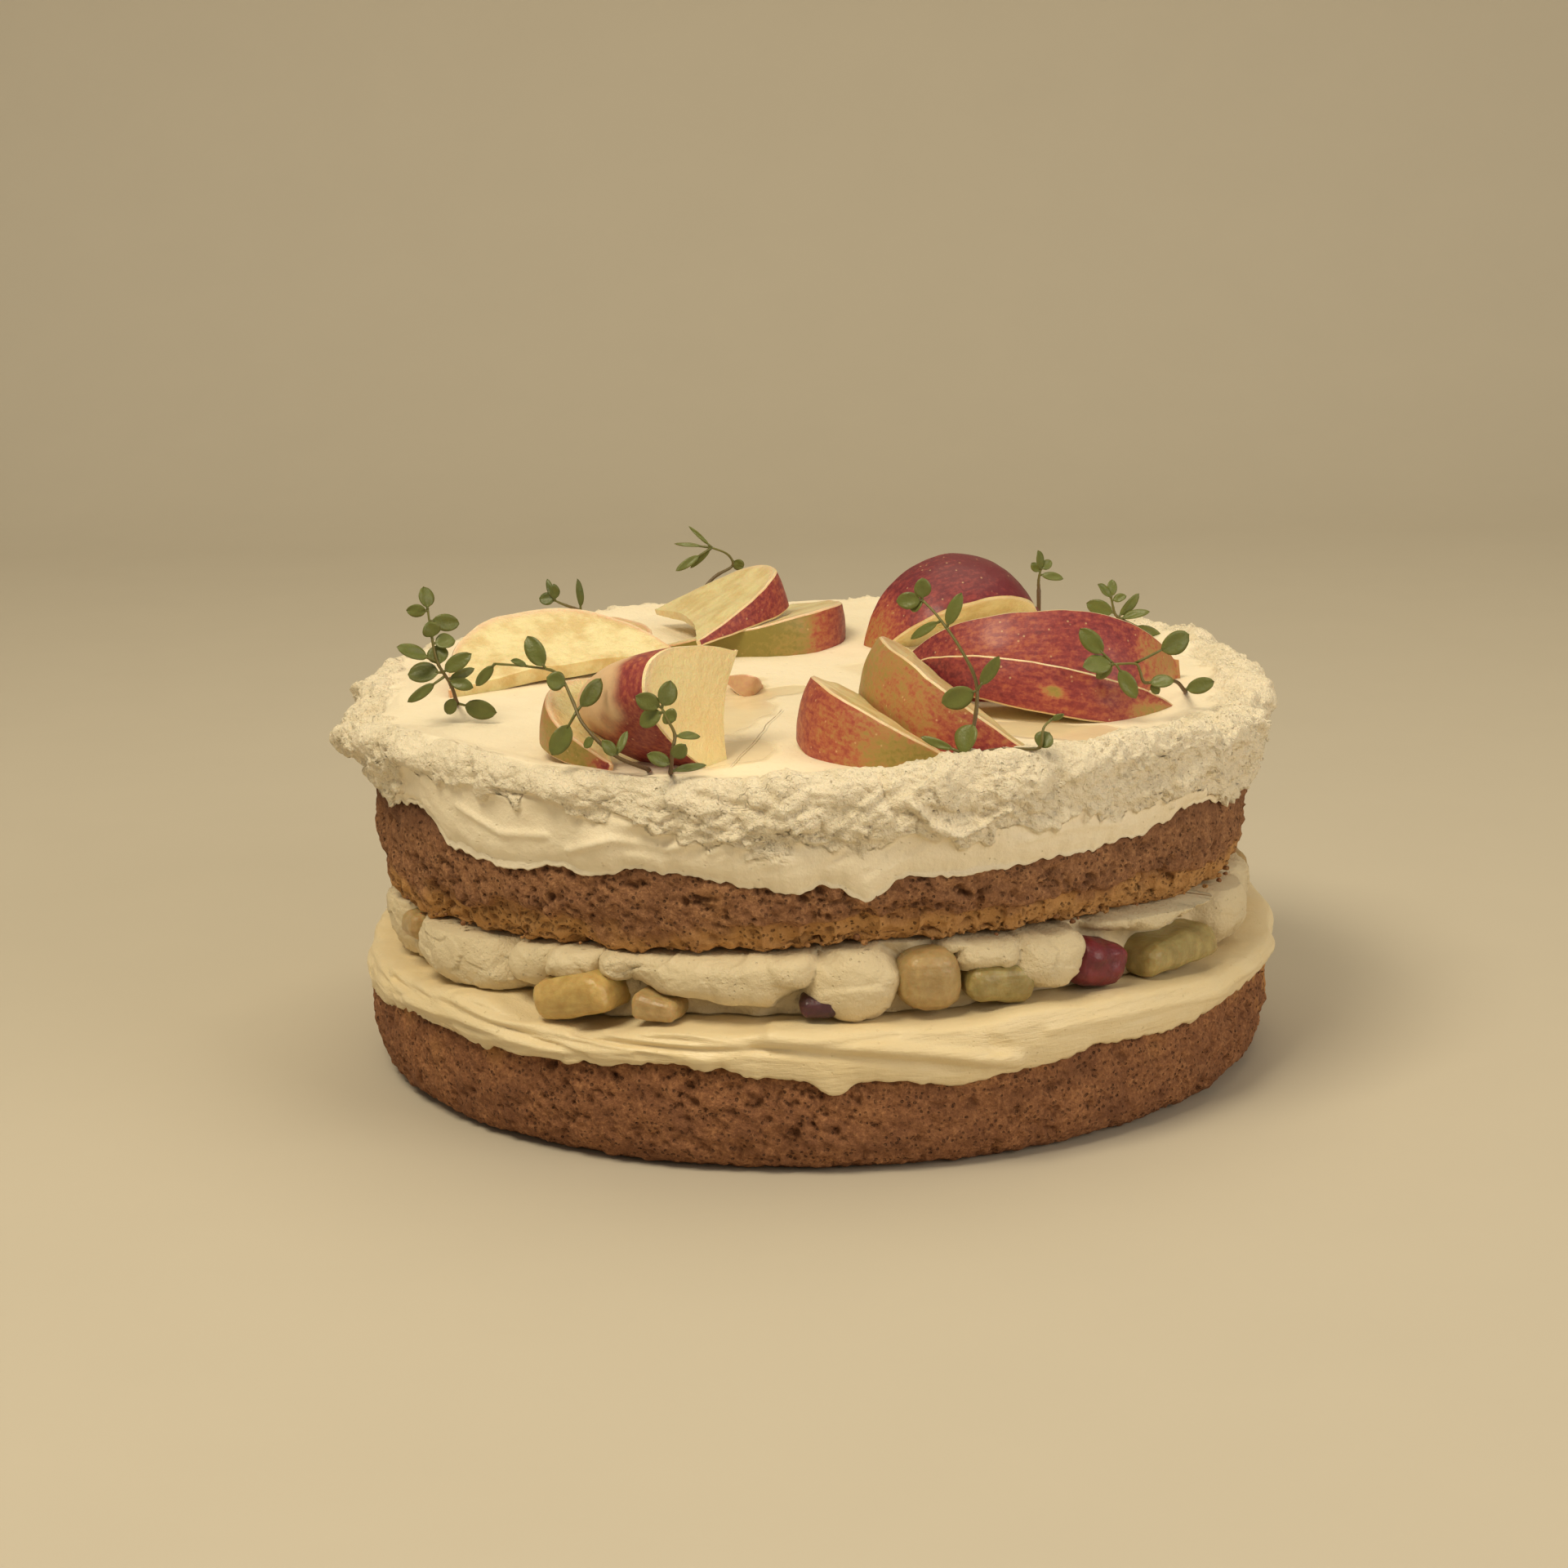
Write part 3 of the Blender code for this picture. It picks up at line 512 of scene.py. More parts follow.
def spongeMaterial(name, tint):
    # open brown crumb: the field tone runs from 0, crust, to 1, golden crumb, and pit marks the holes,
    # which are darkened with painted shade
    made, tree, shader = newMaterial(name, Roughness=0.85, Specular_IOR_Level=0.25)
    place = objectPlace(tree)
    look = spongeLook
    fine, coarse = grain(tree, place, 0.8, 4, 0.7), grain(tree, place, 4, 3)
    crumb = plus(tree, times(tree, fine, 0.68), times(tree, coarse, 0.32))
    colour = ramp(tree, crumb, [(0.34, look["dark"]), (0.50, look["mid"]), (0.66, look["light"])])
    tone = field(tree, "tone")
    # small holes, dented in the relief and darkened with painted shade
    holes = spread(tree, speckle(tree, place, 1.1), 0.36, 0.14)
    holes = times(tree, holes, spread(tree, grain(tree, place, 3, 2), 0.38, 0.58))
    pits = combine(tree, "MAXIMUM", holes, field(tree, "pit"))
    colour = painted(
        tree, colour,
        (times(tree, spread(tree, tone, 0.5, 1.0), 0.75), look["golden"]),
        (times(tree, spread(tree, tone, 0.5, 0.0), 0.8), look["crust"]),
        (times(tree, pits, 0.62), look["pit"]),
    )
    colour = blendColours(tree, 1.0, colour, (*tint, 1.0), "MULTIPLY")
    tree.links.new(colour, shader.inputs["Base Color"])
    relief(tree, shader, (without(tree, 1.0, holes), 0.6), (grain(tree, place, 0.8, 4, 0.7), 0.6))
    return made


# the layers' edges round the cake: (azimuth, height), and for the bulge (azimuth, radius)
upperEdges = dict(
    underside=(
        (-73, 40.4), (-46, 41.6), (-27, 43.4), (-11, 44.6), (8, 46.0), (29, 45.6), (43, 45.0),
        (57, 43.3), (71, 41.6), (105, 42.4), (150, 43.6), (200, 43.0), (250, 41.4),
    ),
)
lowerEdges = dict(
    lip=(
        (-83, 25.5), (-64, 27.6), (-44, 30.4), (-32, 27.2), (-16, 30.2), (0, 30.8), (16, 30.4),
        (24, 31.6), (34, 31.0), (45, 30.2), (59, 27.8), (78, 27.6), (100, 29.8), (128, 28.6),
        (155, 30.6), (182, 29.2), (208, 30.4), (236, 28.8), (258, 29.6),
    ),
    hem=(
        (-83, 17.0), (-63, 20.6), (-54, 21.8), (-44, 21.2), (-31, 21.6), (-16, 22.8), (-4, 21.2),
        (1, 19.6), (6, 20.6), (15, 18.4), (22, 19.5), (34, 22.0), (45, 20.8), (57, 22.2),
        (72, 22.6), (92, 20.2), (110, 22.4), (128, 19.0), (150, 21.6), (171, 22.4), (190, 19.8),
        (214, 21.8), (238, 20.4), (256, 21.0),
    ),
)

topEdges = dict(
    hem=(
        (-84, 65.0), (-70, 64.0), (-57, 66.2), (-49, 59.8), (-39, 58.6), (-32, 60.2), (-27, 59.4),
        (-21, 62.0), (-11, 60.2), (-3, 58.2), (1, 59.6), (6, 56.2), (10, 60.4), (18, 60.0),
        (29, 61.2), (42, 62.0), (54, 65.0), (64, 62.2), (76, 61.4), (88, 63.4), (99, 59.8),
        (112, 61.6), (123, 58.0), (134, 61.8), (147, 60.0), (160, 63.6), (172, 58.8), (185, 61.6),
        (198, 60.2), (211, 64.2), (223, 58.6), (237, 61.4), (252, 59.8),
    ),
    rim=(
        (-84, 75.0), (-77, 79.4), (-57, 82.4), (-41, 81.6), (-29, 81.0), (-19, 80.8), (-6, 81.4),
        (8, 83.2), (18, 84.2), (30, 83.6), (40, 84.0), (54, 83.6), (66, 80.6), (78, 81.6),
        (95, 82.6), (118, 83.8), (138, 82.6), (160, 84.0), (182, 82.8), (205, 84.2), (226, 82.4),
        (246, 83.4), (262, 80.6),
    ),
    bulge=(
        (-85, 104.5), (-62, 102.4), (-40, 100.6), (-15, 101.2), (10, 102.2), (35, 101.4), (60, 102.6),
        (85, 101.6), (115, 102.8), (145, 101.2), (180, 102.4), (215, 101.0), (245, 103.2),
    ),
    # where the rough upper band ends, as a share of the way from rim to hem
    ledge=(
        (-88, 1.1), (-66, 1.0), (-56, 0.46), (-44, 0.34), (-32, 0.36), (-24, 0.44), (-16, 0.58),
        (-8, 0.62), (2, 0.60), (8, 0.66), (13, 0.70), (22, 0.72), (34, 0.70), (44, 0.72),
        (54, 0.80), (66, 1.0), (84, 0.95), (105, 0.5), (130, 0.65), (155, 0.45), (180, 0.6),
        (205, 0.4), (230, 0.6), (255, 0.8),
    ),
)


def spongeSide(radius, azimuths, z, seed):
    return radius + radii["uneven"] * lumps(pointsAt(azimuths, radius, z), 30, seed)


def baseSide(azimuths):
    return spongeSide(radii["base"], azimuths, 12, 3)


def upperSide(azimuths):
    return spongeSide(radii["upper"], azimuths, 56, 8)


def fillingFloor(azimuths, radius):
    edge = around(lowerEdges["lip"], azimuths)
    return levels["fillingFloor"] + (edge - levels["fillingFloor"]) * radius / radii["base"]


def fillingRoof(azimuths, radius):
    edge = around(upperEdges["underside"], azimuths)
    return levels["fillingRoof"] + (edge - levels["fillingRoof"]) * radius / radii["upper"]


crumbShape = dict(
    turns=1300,
    pitSize=(4.0, 4.0, 2.9),
    pitDepth=1.7,
    smallPitSize=(2.1, 2.1, 1.7),
    smallPitDepth=1.1,
    lumpSize=5.0,
    lump=0.7,
    bumpSize=2.2,
    bump=0.55,
    fineSize=1.3,
    fine=0.28,
    # the broken lower edge of the top sponge: its share of the height, and its depth
    breakShare=0.30,
    breakUneven=0.10,
    breakDepth=1.5,
    underCream=1.2,  # how far the side is drawn in where the cream covers it
)


def crumble(grid, seed, openness):
    # pits and crumbs in a sponge's surface; openness from 0, tight skin, to 1, torn crumb
    c = crumbShape
    loose = stirred(grid, 3.2, 1.1, seed + 6)
    big = cells(loose, c["pitSize"], seed)
    small = cells(loose, c["smallPitSize"], seed + 1)
    where = smooth(-0.2, 0.35, wavy(grid, 8, seed + 2))
    pit = smooth(0.44, 0.20, big) * where * openness
    smallPit = smooth(0.46, 0.20, small) * smooth(-0.4, 0.3, wavy(grid, 6, seed + 3)) * openness
    move = -c["pitDepth"] * pit - c["smallPitDepth"] * smallPit
    move += c["lump"] * wavy(grid, c["lumpSize"], seed + 9) * openness
    move += c["bump"] * wavy(grid, c["bumpSize"], seed + 4) * (0.35 + 0.65 * openness)
    move += c["fine"] * wavy(grid, c["fineSize"], seed + 5)
    # besides the moved grid, gives where the pits are, for the painted shade in them
    return grid + outward(grid) * move[..., None], np.clip(pit + 0.8 * smallPit, 0, 1)


def addBaseSponge():
    azimuths = evenAzimuths(crumbShape["turns"])
    side, top = baseSide(azimuths), levels["baseTop"]
    keyRows = [
        (side - 2.5, top), (side - 0.5, top - 1.2), (side + 0.3, 14), (side - 0.8, 6),
        (side - 3.2, 1.8), (side - 7.5, 0),
    ]
    grid, places = layerGrid(azimuths, keyRows, (2, 16, 13, 8, 8))
    fade = smooth(5.0, 4.3, places)[None, :]  # the underside stays flat
    openness = (0.5 + 0.4 * smooth(-0.2, 0.6, wavy(grid, 22, 61))) * fade
    torn = between(azimuths, (62, 76), (110, 84))[:, None] * smooth(2, 9, grid[..., 2])
    openness = np.clip(openness + 0.5 * torn, 0, 1)
    shaped, pit = crumble(grid, 40, openness)
    shaped[..., 2] = np.maximum(np.where(fade > 0.02, shaped[..., 2], grid[..., 2]), 0.0)
    under = smooth(12, 22, grid[..., 2]) * smooth(-0.3, 0.5, wavy(grid, 12, 63))
    tone = 0.36 + 0.28 * wavy(grid, 9, 62) + 0.35 * under
    tone += 0.6 * torn * smooth(-0.2, 0.4, wavy(grid, 4, 64))
    points, faces = layerMesh(shaped, top, 0)
    fields = {"tone": layerField(tone), "pit": layerField(pit)}
    made = spongeMaterial("bakedSpongeBase", spongeLook["baseTint"])
    addPiece("bottomSponge", points, faces, [made], ["sponge_bottom"], fields)


def addUpperSponge():
    c = crumbShape
    azimuths = evenAzimuths(c["turns"])
    side, top = upperSide(azimuths), levels["spongeTop"]
    edge = pointsAt(azimuths, side, 0)
    uneven = 1.2 * lumps(edge, 9, 21) + 1.0 * wavy(edge, 3.2, 71)
    low = side - 4.5 + uneven
    under = fillingRoof(azimuths, low) + 0.8 * wavy(pointsAt(azimuths, side, 9), 4.5, 72)
    keyRows = [
        (side - 2.5, top), (side - 0.7, top - 0.7), (side, top - 2.5), (side + 0.2, (top + under) / 2),
        (side - 1.4 + uneven, under + 5), (side - 3.0 + uneven, under + 1.6), (low, under),
        (low - 6, fillingRoof(azimuths, low - 6)),
    ]
    grid, places = layerGrid(azimuths, keyRows, (1, 2, 16, 13, 7, 4, 5))
    height = (grid[..., 2] - under[:, None]) / (top - under[:, None])
    openness = 0.35 + 0.65 * smooth(0.9, 0.45, height + 0.2 * wavy(grid, 14, 73))
    shaped, pit = crumble(grid, 50, openness)
    # a ledge where the lower edge has broken away
    ledge = c["breakShare"] + c["breakUneven"] * wavy(grid * [1, 1, 0.2], 17, 74)
    broken = smooth(ledge + 0.035, ledge - 0.035, height + 0.05 * wavy(grid, 3.5, 75))
    where = between(signed(azimuths), (-14, -4), (80, 66))[:, None]
    where = np.clip(where + smooth(0.1, 0.4, wavy(grid * [1, 1, 0], 40, 76)), 0, 1)
    step = c["breakDepth"] * broken * where * smooth(6.8, 5.6, places)[None, :]
    aboveHem = grid[..., 2] - around(topEdges["hem"], azimuths)[:, None] - 1.2
    step = step + c["underCream"] * smooth(-0.5, 1.5, aboveHem)
    shaped -= outward(grid) * step[..., None]
    tone = 0.5 + 0.16 * wavy(grid, 10, 77) - 0.40 * smooth(0.55, 0.95, height)
    tone += 0.45 * smooth(0.34, 0.04, height + 0.14 * wavy(grid, 6, 78)) + 0.2 * broken * where
    points, faces = layerMesh(shaped, top, levels["fillingRoof"])
    points = points + radii["upperShift"]
    fields = {"tone": layerField(tone), "pit": layerField(pit)}
    made = spongeMaterial("bakedSpongeTop", spongeLook["topTint"])
    addPiece("topSponge", points, faces, [made], ["sponge_top"], fields)


addBaseSponge()
addUpperSponge()
print("stage: sponges")


creamLook = dict(
    whipped=(242, 228, 199),
    # the darker colour of the whipped creams: random patches, and painted shade in their cracks and
    # pores
    patchAndRecessShade=(222, 203, 165),
    filling=(216, 199, 163),
    custard=(231, 214, 177),
    custardDeep=(224, 198, 142),
    syrup=(236, 212, 158),
    scored=(((-6.7, -26.0), (-18.3, -81.7)), ((-22.0, -99.0), (-0.7, -101.0))),  # thin marks of a knife
)


def scoredLine(tree, place, start, end):
    # 1 along a thin wavering line on the level surface, 0 away from it
    start, end = np.array(start) * mm, np.array(end) * mm
    length = float(np.linalg.norm(end - start))
    along = (end - start) / length
    inputs = {0: place, 1: (*start, 0)}
    fromStart = addNode(tree, "VectorMath", inputs, operation="SUBTRACT").outputs[0]
    down = dot(tree, fromStart, (*along, 0))
    side = dot(tree, fromStart, (-along[1], along[0], 0))
    wander = times(tree, without(tree, grain(tree, place, 9, 3), 0.5), 1.6 * mm)
    away = combine(tree, "ABSOLUTE", plus(tree, side, wander), 0.0)
    line = spread(tree, away, 0.45 * mm, 0.12 * mm)
    ends = times(tree, spread(tree, down, 0, 3 * mm), spread(tree, down, length, length - 6 * mm))
    return times(tree, line, ends)


def creamMaterial(name, colour, deep, roughness, grainSize, grainDepth, streaky=0.0, scored=()):
    # thick cream: rough marks where it is grainy, painted shade in its cracks, pores and recesses, wet
    # where syrup has run over it
    made, tree, shader = newMaterial(
        name, Subsurface_Weight=0.10, Subsurface_Scale=0.0015, Subsurface_Radius=(1.0, 0.72, 0.42),
        Specular_IOR_Level=0.4,
    )
    place = objectPlace(tree)
    rough, wet = field(tree, "rough"), field(tree, "wet")
    patch = grain(tree, place, 11, 3)
    shade = times(tree, spread(tree, patch, 0.42, 0.70), 0.18)
    # the crease field is painted shade in the cracks and on the low flats
    crease = times(tree, field(tree, "crease"), 0.45)
    # pores: small pits, dented in the relief and darkened with painted shade
    pores = spread(tree, speckle(tree, place, 1.3), 0.24, 0.08)
    pores = times(tree, pores, spread(tree, grain(tree, place, 4, 2), 0.52, 0.64))
    pores = times(tree, pores, plus(tree, times(tree, rough, 0.45), 0.25))
    streaks = addNode(tree, "Mapping", {"Vector": place, "Scale": (0.16, 0.16, 1.0)}).outputs[0]
    streaks = times(tree, grain(tree, streaks, 1.3, 4, 0.6), streaky)
    # the deep colour goes on in random patches and streaks, and as painted shade in the cracks and pores
    shades = [(share, deep) for share in (shade, crease, pores, times(tree, streaks, 0.6))]
    syrup = times(tree, wet, 0.55), creamLook["syrup"]
    tint = painted(tree, linear(colour), *shades, syrup)
    tree.links.new(tint, shader.inputs["Base Color"])
    tree.links.new(spread(tree, wet, 0.15, 0.7, roughness, 0.14), shader.inputs["Roughness"])
    dry = spread(tree, wet, 0.6, 0.1, 0.08, 1.0)
    lively = times(tree, dry, spread(tree, rough, 0.0, 1.0, 0.22, 1.0))
    fine = times(tree, grain(tree, place, grainSize, 4, 0.62), lively)
    tiny = times(tree, grain(tree, place, 0.6, 3, 0.6), lively)
    dents = times(tree, without(tree, 1.0, pores), dry)
    heights = [(fine, grainDepth), (tiny, 0.32), (dents, 0.5), (streaks, 0.5)]
    for start, end in scored:
        heights.append((without(tree, 1.0, scoredLine(tree, place, start, end)), 0.35))
    relief(tree, shader, *heights)
    return made


topCream = dict(
    turns=1100,
    middleTurns=220,
    middleRows=60,
    rowCounts=(12, 5, 9, 10, 11, 8, 5, 3, 3, 2),
    rimFrom=0.87,  # where the flat middle ends, as a share of the bulge's radius
    hemWave=0.7,
    fineHemWave=0.5,
    crestWave=0.7,
    bulgeWave=1.5,
    crackSize=(5.2, 5.2, 3.6),  # the broken flats and cracks that make the rim rough
    crack=0.55,
    flat=0.5,
    smallFlat=0.3,
    fineCrumb=0.3,
    tear=0.85,  # height of the steps where the cream has torn
    crag=1.5,
    band=1.6,  # how far the rough band stands out over the smooth part
    fine=0.3,
    dish=0.9,  # depth of the smooth marks of the knife
    dishSize=15.0,
    fold=0.95,
    deepest=-2.6,
    highest=2.4,
    strokeRadius=102,
    dryBelow=76.0,  # no syrup lower than this
    # where the roughness starts, from 0, well inside the rim, to 1, on the rim
    roughFrom=(
        (-92, 0.2), (-72, 0.55), (-56, 0.95), (-34, 1.15), (-14, 1.05), (0, 0.75), (9, 0.4),
        (28, 0.2), (60, 0.12), (100, 0.1), (122, 0.7), (150, 1.1), (215, 1.1), (250, 0.9),
    ),
)

# how the rough band looks round the cake, as (azimuth, share): how far it is broken into blocks, how
# fine and crumbly it is, and how far it hangs out over the smooth part
topCharacter = dict(
    blocks=(
        (-90, 1.0), (-64, 0.9), (-54, 0.3), (-38, 0.2), (-28, 0.35), (-14, 0.7), (-3, 0.5),
        (6, 0.3), (12, 0.35), (24, 0.3), (50, 0.45), (62, 0.9), (100, 1.0), (140, 0.5), (190, 0.8),
        (230, 0.5),
    ),
    fine=(
        (-90, 0.3), (-60, 0.2), (-30, 0.15), (-10, 0.35), (4, 0.2), (14, 0.9), (50, 1.0), (62, 0.6),
        (90, 0.5), (140, 0.8), (200, 0.3),
    ),
    overhang=(
        (-90, 0.5), (-64, 0.9), (-36, 1.0), (-24, 0.55), (-10, 0.35), (8, 0.5), (14, 0.85),
        (26, 0.7), (40, 0.4), (60, 0.4), (100, 0.8), (160, 0.6), (220, 0.9),
    ),
)

# ridges and creases drawn on the side: points (azimuth, height), how far it stands out, half width
topStrokes = (
    (((-8.7, 87.0), (-6.6, 82.6), (-4.0, 76.9)), -0.9, 0.8),
    (((6.8, 86.4), (7.5, 82.5), (7.8, 78.0), (9.0, 74.0)), -1.6, 0.9),
    (((10.7, 76.1), (13.0, 71.8), (16.2, 69.4), (19.1, 70.9), (22.0, 73.6)), 2.1, 0.75),
    (((12.5, 75.0), (15.0, 72.6), (18.0, 73.0)), -1.0, 1.2),
    (((22.5, 70.3), (27.6, 70.8), (33.1, 72.0), (39.2, 72.0), (46.1, 74.1)), -0.7, 0.9),
    (((-40.6, 75.6), (-34.4, 74.4), (-28.8, 73.8), (-24.6, 72.8), (-18.7, 71.1)), -0.8, 0.8),
    (((-47.0, 70.0), (-40.0, 66.0), (-33.0, 67.0)), 0.7, 0.9),
    (((-30.0, 64.5), (-24.0, 68.0), (-17.0, 67.0), (-9.0, 70.5)), 0.8, 0.9),
    (((-12.0, 66.5), (-5.0, 70.0), (1.0, 69.0)), 0.7, 0.8),
    (((-12.0, 78.0), (-4.0, 74.5), (3.0, 77.5)), -0.8, 0.7),
    (((24.0, 66.0), (31.0, 67.5), (38.0, 66.5)), 0.6, 1.0),
)


def strokes(azimuths, z, radius, drawnLines):
    # how far each point is moved by ridges and creases drawn on the side
    turn = signed(azimuths)
    across = np.radians(turn) * radius
    move = np.zeros(np.broadcast(across, z).shape)
    for line, height, halfWidth in drawnLines:
        nearest = np.full(move.shape, 1e9)
        marks = [(math.radians(a) * radius, level) for a, level in line]
        for (x0, z0), (x1, z1) in zip(marks, marks[1:]):
            long = (x1 - x0) ** 2 + (z1 - z0) ** 2
            share = np.clip(((across - x0) * (x1 - x0) + (z - z0) * (z1 - z0)) / long, 0, 1)
            away = (across - x0 - share * (x1 - x0)) ** 2 + (z - z0 - share * (z1 - z0)) ** 2
            nearest = np.minimum(nearest, away)
        move += height * np.exp(-nearest / halfWidth**2)
    return move


def creamSurface(points):
    # height of the top cream's flat middle
    flat = np.array(points, float)
    flat[..., 2] = 0
    return levels["creamTop"] + levels["creamSlope"] * flat[..., 1] + 0.5 * lumps(flat, 28, 17)


syrupPools = (
    # x, y, half length, half width, turn, how wet
    (-20, -24, 34, 13, 83, 1.0),
    (-17, -66, 15, 9, 60, 0.75),
    (52, -52, 20, 9, -20, 1.0),
    (34, -50, 10, 9, 0, 0.8),
    (-6, -8, 11, 6, 20, 0.6),
    (20, 18, 16, 10, 40, 0.4),
    (12, -58, 24, 6, -58, 0.6),
)


def wetness(points):
    wet = np.zeros(points.shape[:-1])
    for x, y, halfLength, halfWidth, turn, amount in syrupPools:
        c, s = math.cos(math.radians(turn)), math.sin(math.radians(turn))
        dx, dy = points[..., 0] - x, points[..., 1] - y
        reach = ((dx * c + dy * s) / halfLength) ** 2 + ((dy * c - dx * s) / halfWidth) ** 2
        reach += 0.35 * wavy(points * [1, 1, 0], 7, 81)
        wet = np.maximum(wet, amount * smooth(1.25, 0.45, reach))
    return wet


def topCreamOutline(azimuths):
    # the covering's smooth form, and each point's share of the way down its face, from crest to hem
    t = topCream
    side = upperSide(azimuths)
    bulge = around(topEdges["bulge"], azimuths)
    edge = pointsAt(azimuths, bulge, 0)
    hem = around(topEdges["hem"], azimuths) + t["hemWave"] * wavy(edge, 3.6, 82)
    hem = hem + t["fineHemWave"] * wavy(edge, 1.7, 83)
    crest = around(topEdges["rim"], azimuths) + t["crestWave"] * lumps(edge, 12, 31)
    crag, dent = (t["bulgeWave"] * lumps(edge, size, seed) for size, seed in ((7, 41), (10, 51)))
    face = crest - hem
    inner = pointsAt(azimuths, t["rimFrom"] * bulge, 0)
    keyRows = [
        (t["rimFrom"] * bulge, creamSurface(inner)), (0.95 * bulge, crest),
        (0.985 * bulge + crag, crest - 0.08 * face),
        (bulge + crag, crest - 0.24 * face), (bulge - 0.6 + dent, crest - 0.44 * face),
        (side + 3.6 - dent, crest - 0.66 * face), (side + 2.9, crest - 0.86 * face), (side + 1.2, hem),
        (side + 0.4, hem + 0.6), (side + 0.4, np.maximum(hem + 1, levels["spongeTop"] - 1)),
        (side - 1, levels["spongeTop"] + gap),
    ]
    grid, places = layerGrid(azimuths, keyRows, t["rowCounts"])
    return grid, places, (crest[:, None] - grid[..., 2]) / face[:, None]


def brokenCream(grid, azimuths, rough):
    # how far the rough band's torn blocks, flats and crumbs move each point, and how much shade to paint
    # in its cracks and low flats
    t = topCream
    blocks, fine = (around(topCharacter[kind], azimuths)[:, None] for kind in ("blocks", "fine"))
    patchy = rough * (0.45 + 0.55 * smooth(-0.35, 0.25, wavy(grid, 12, 79)))
    loose = stirred(grid, 6, 1.5, 21)
    split = cracks(loose, t["crackSize"], 3)
    crevice = smooth(0.13, 0.0, split) * smooth(-0.3, 0.2, wavy(grid, 7, 77))
    torn = terraces(1.9 * wavy(loose, (14, 14, 6), 87) + 0.35 * wavy(loose, 3, 80), 0.10)
    broken = t["flat"] * facets(loose, (6.5, 6.5, 3.6), 6)
    broken = (broken + t["smallFlat"] * facets(loose, (2.9, 2.9, 2.0), 7)) * (0.25 + 0.85 * blocks)
    crumbly = t["fineCrumb"] * (facets(loose, 1.7, 8) + 0.9 * wavy(loose, 1.2, 75)) * fine
    finer = broken + t["fine"] * wavy(loose, 2.4, 76) - t["crack"] * crevice
    move = patchy * finer + rough * crumbly
    tear = t["tear"] * torn * (0.4 + 0.6 * blocks)
    move += rough * (tear + t["crag"] * wavy(grid, (15, 15, 8), 88))
    # painted shade: darker in the cracks and on the lowest flats
    crease = patchy * np.clip(crevice + 0.5 * smooth(-0.3, -1.1, broken), 0, 1)
    return move, crease


def foldedCream(grid, azimuths, share):
    # slanting folds down the face, in some stretches only
    x, y, z = np.moveaxis(grid, -1, 0)
    slant = np.stack([x * 0.82 + z * 0.57, y, z * 0.82 - x * 0.57], -1)
    folds = 0.5 - np.abs(wavy(slant, (13, 13, 2.6), 89)) * 1.6
    turn = signed(azimuths)
    where = between(turn, (-24, -12), (16, 8)) + smooth(95, 120, turn) + smooth(-120, -140, turn)
    folds = topCream["fold"] * folds * where[:, None]
    return folds * smooth(0.05, 0.2, share) * smooth(0.9, 0.7, share)


def topCreamGrid():
    t = topCream
    azimuths = evenAzimuths(t["turns"])
    grid, places, share = topCreamOutline(azimuths)
    outside = smooth(0.9, 1.3, places)[None, :]
    hidden = smooth(7.6, 6.9, places)[None, :]
    share = share * outside
    ledge = around(topEdges["ledge"], azimuths)[:, None]
    ledge = ledge + 0.12 * wavy(grid, 8, 84) + 0.09 * wavy(grid, 3, 85)
    upperBand = smooth(ledge + 0.03, ledge - 0.03, share)
    start = around(t["roughFrom"], azimuths)[:, None] + 0.35 * wavy(grid * [1, 1, 0], 6, 86)
    inward = smooth(start - 0.12, start + 0.30, places[None, :] + 0 * start)
    rough = upperBand * inward * hidden
    move, crease = brokenCream(grid, azimuths, rough)
    overhang = t["band"] * around(topCharacter["overhang"], azimuths)[:, None]
    move += overhang * (upperBand - 0.8) * outside * hidden - 0.2 * rough
    move += foldedCream(grid, azimuths, share) * hidden
    lower = (1 - upperBand) * outside * hidden
    dishes = np.minimum(cells(grid * [1, 1, 0.8], t["dishSize"], 5), 0.9) ** 2
    move += lower * (t["dish"] * (dishes - 0.35) + 0.14 * wavy(grid, 3.4, 90))
    drawnMove = strokes(azimuths[:, None], grid[..., 2], t["strokeRadius"], topStrokes)
    move += drawnMove * outside * hidden
    shaped = grid + outward(grid) * np.clip(move, t["deepest"], t["highest"])[..., None]
    return azimuths, shaped, np.clip(rough + 0.12 * lower, 0, 1), crease


def addTopCream():
    t = topCream
    azimuths, shaped, rough, crease = topCreamGrid()
    every = t["turns"] // t["middleTurns"]
    rimRadius = t["rimFrom"] * around(topEdges["bulge"], azimuths)[::every]
    shares = np.arange(1, t["middleRows"] + 1) / (t["middleRows"] + 1)
    middle = pointsAt(azimuths[::every, None], rimRadius[:, None] * shares, 0)
    middle[..., 2] = creamSurface(middle) + 0.10 * wavy(middle, 9, 91) + 0.06 * wavy(middle, 3, 92)
    centre = float(creamSurface(np.zeros(3)))
    points, faces = layerMesh(shaped, 0, levels["spongeTop"] + gap, middle, centre)
    roughness = np.concatenate([rough.ravel(), [0], 0.04 + 0 * middle[..., 0].ravel(), [0.04]])
    wet = wetness(points)
    wet[: shaped.shape[0] * shaped.shape[1]] *= 1 - smooth(0.2, 0.7, rough.ravel())
    wet[points[:, 2] < t["dryBelow"]] = 0
    points = points + radii["upperShift"]
    # painted shade for the cracks of the rough band, none in the flat middle
    creases = np.concatenate([crease.ravel(), np.zeros(len(points) - crease.size)])
    fields = {"rough": roughness, "wet": wet, "crease": creases}
    look = creamLook
    made = creamMaterial(
        "whippedCreamTop", look["whipped"], look["patchAndRecessShade"],
        roughness=0.65, grainSize=1.5, grainDepth=1.25, scored=look["scored"],
    )
    addPiece("topCream", points, faces, [made], ["cream_top"], fields)


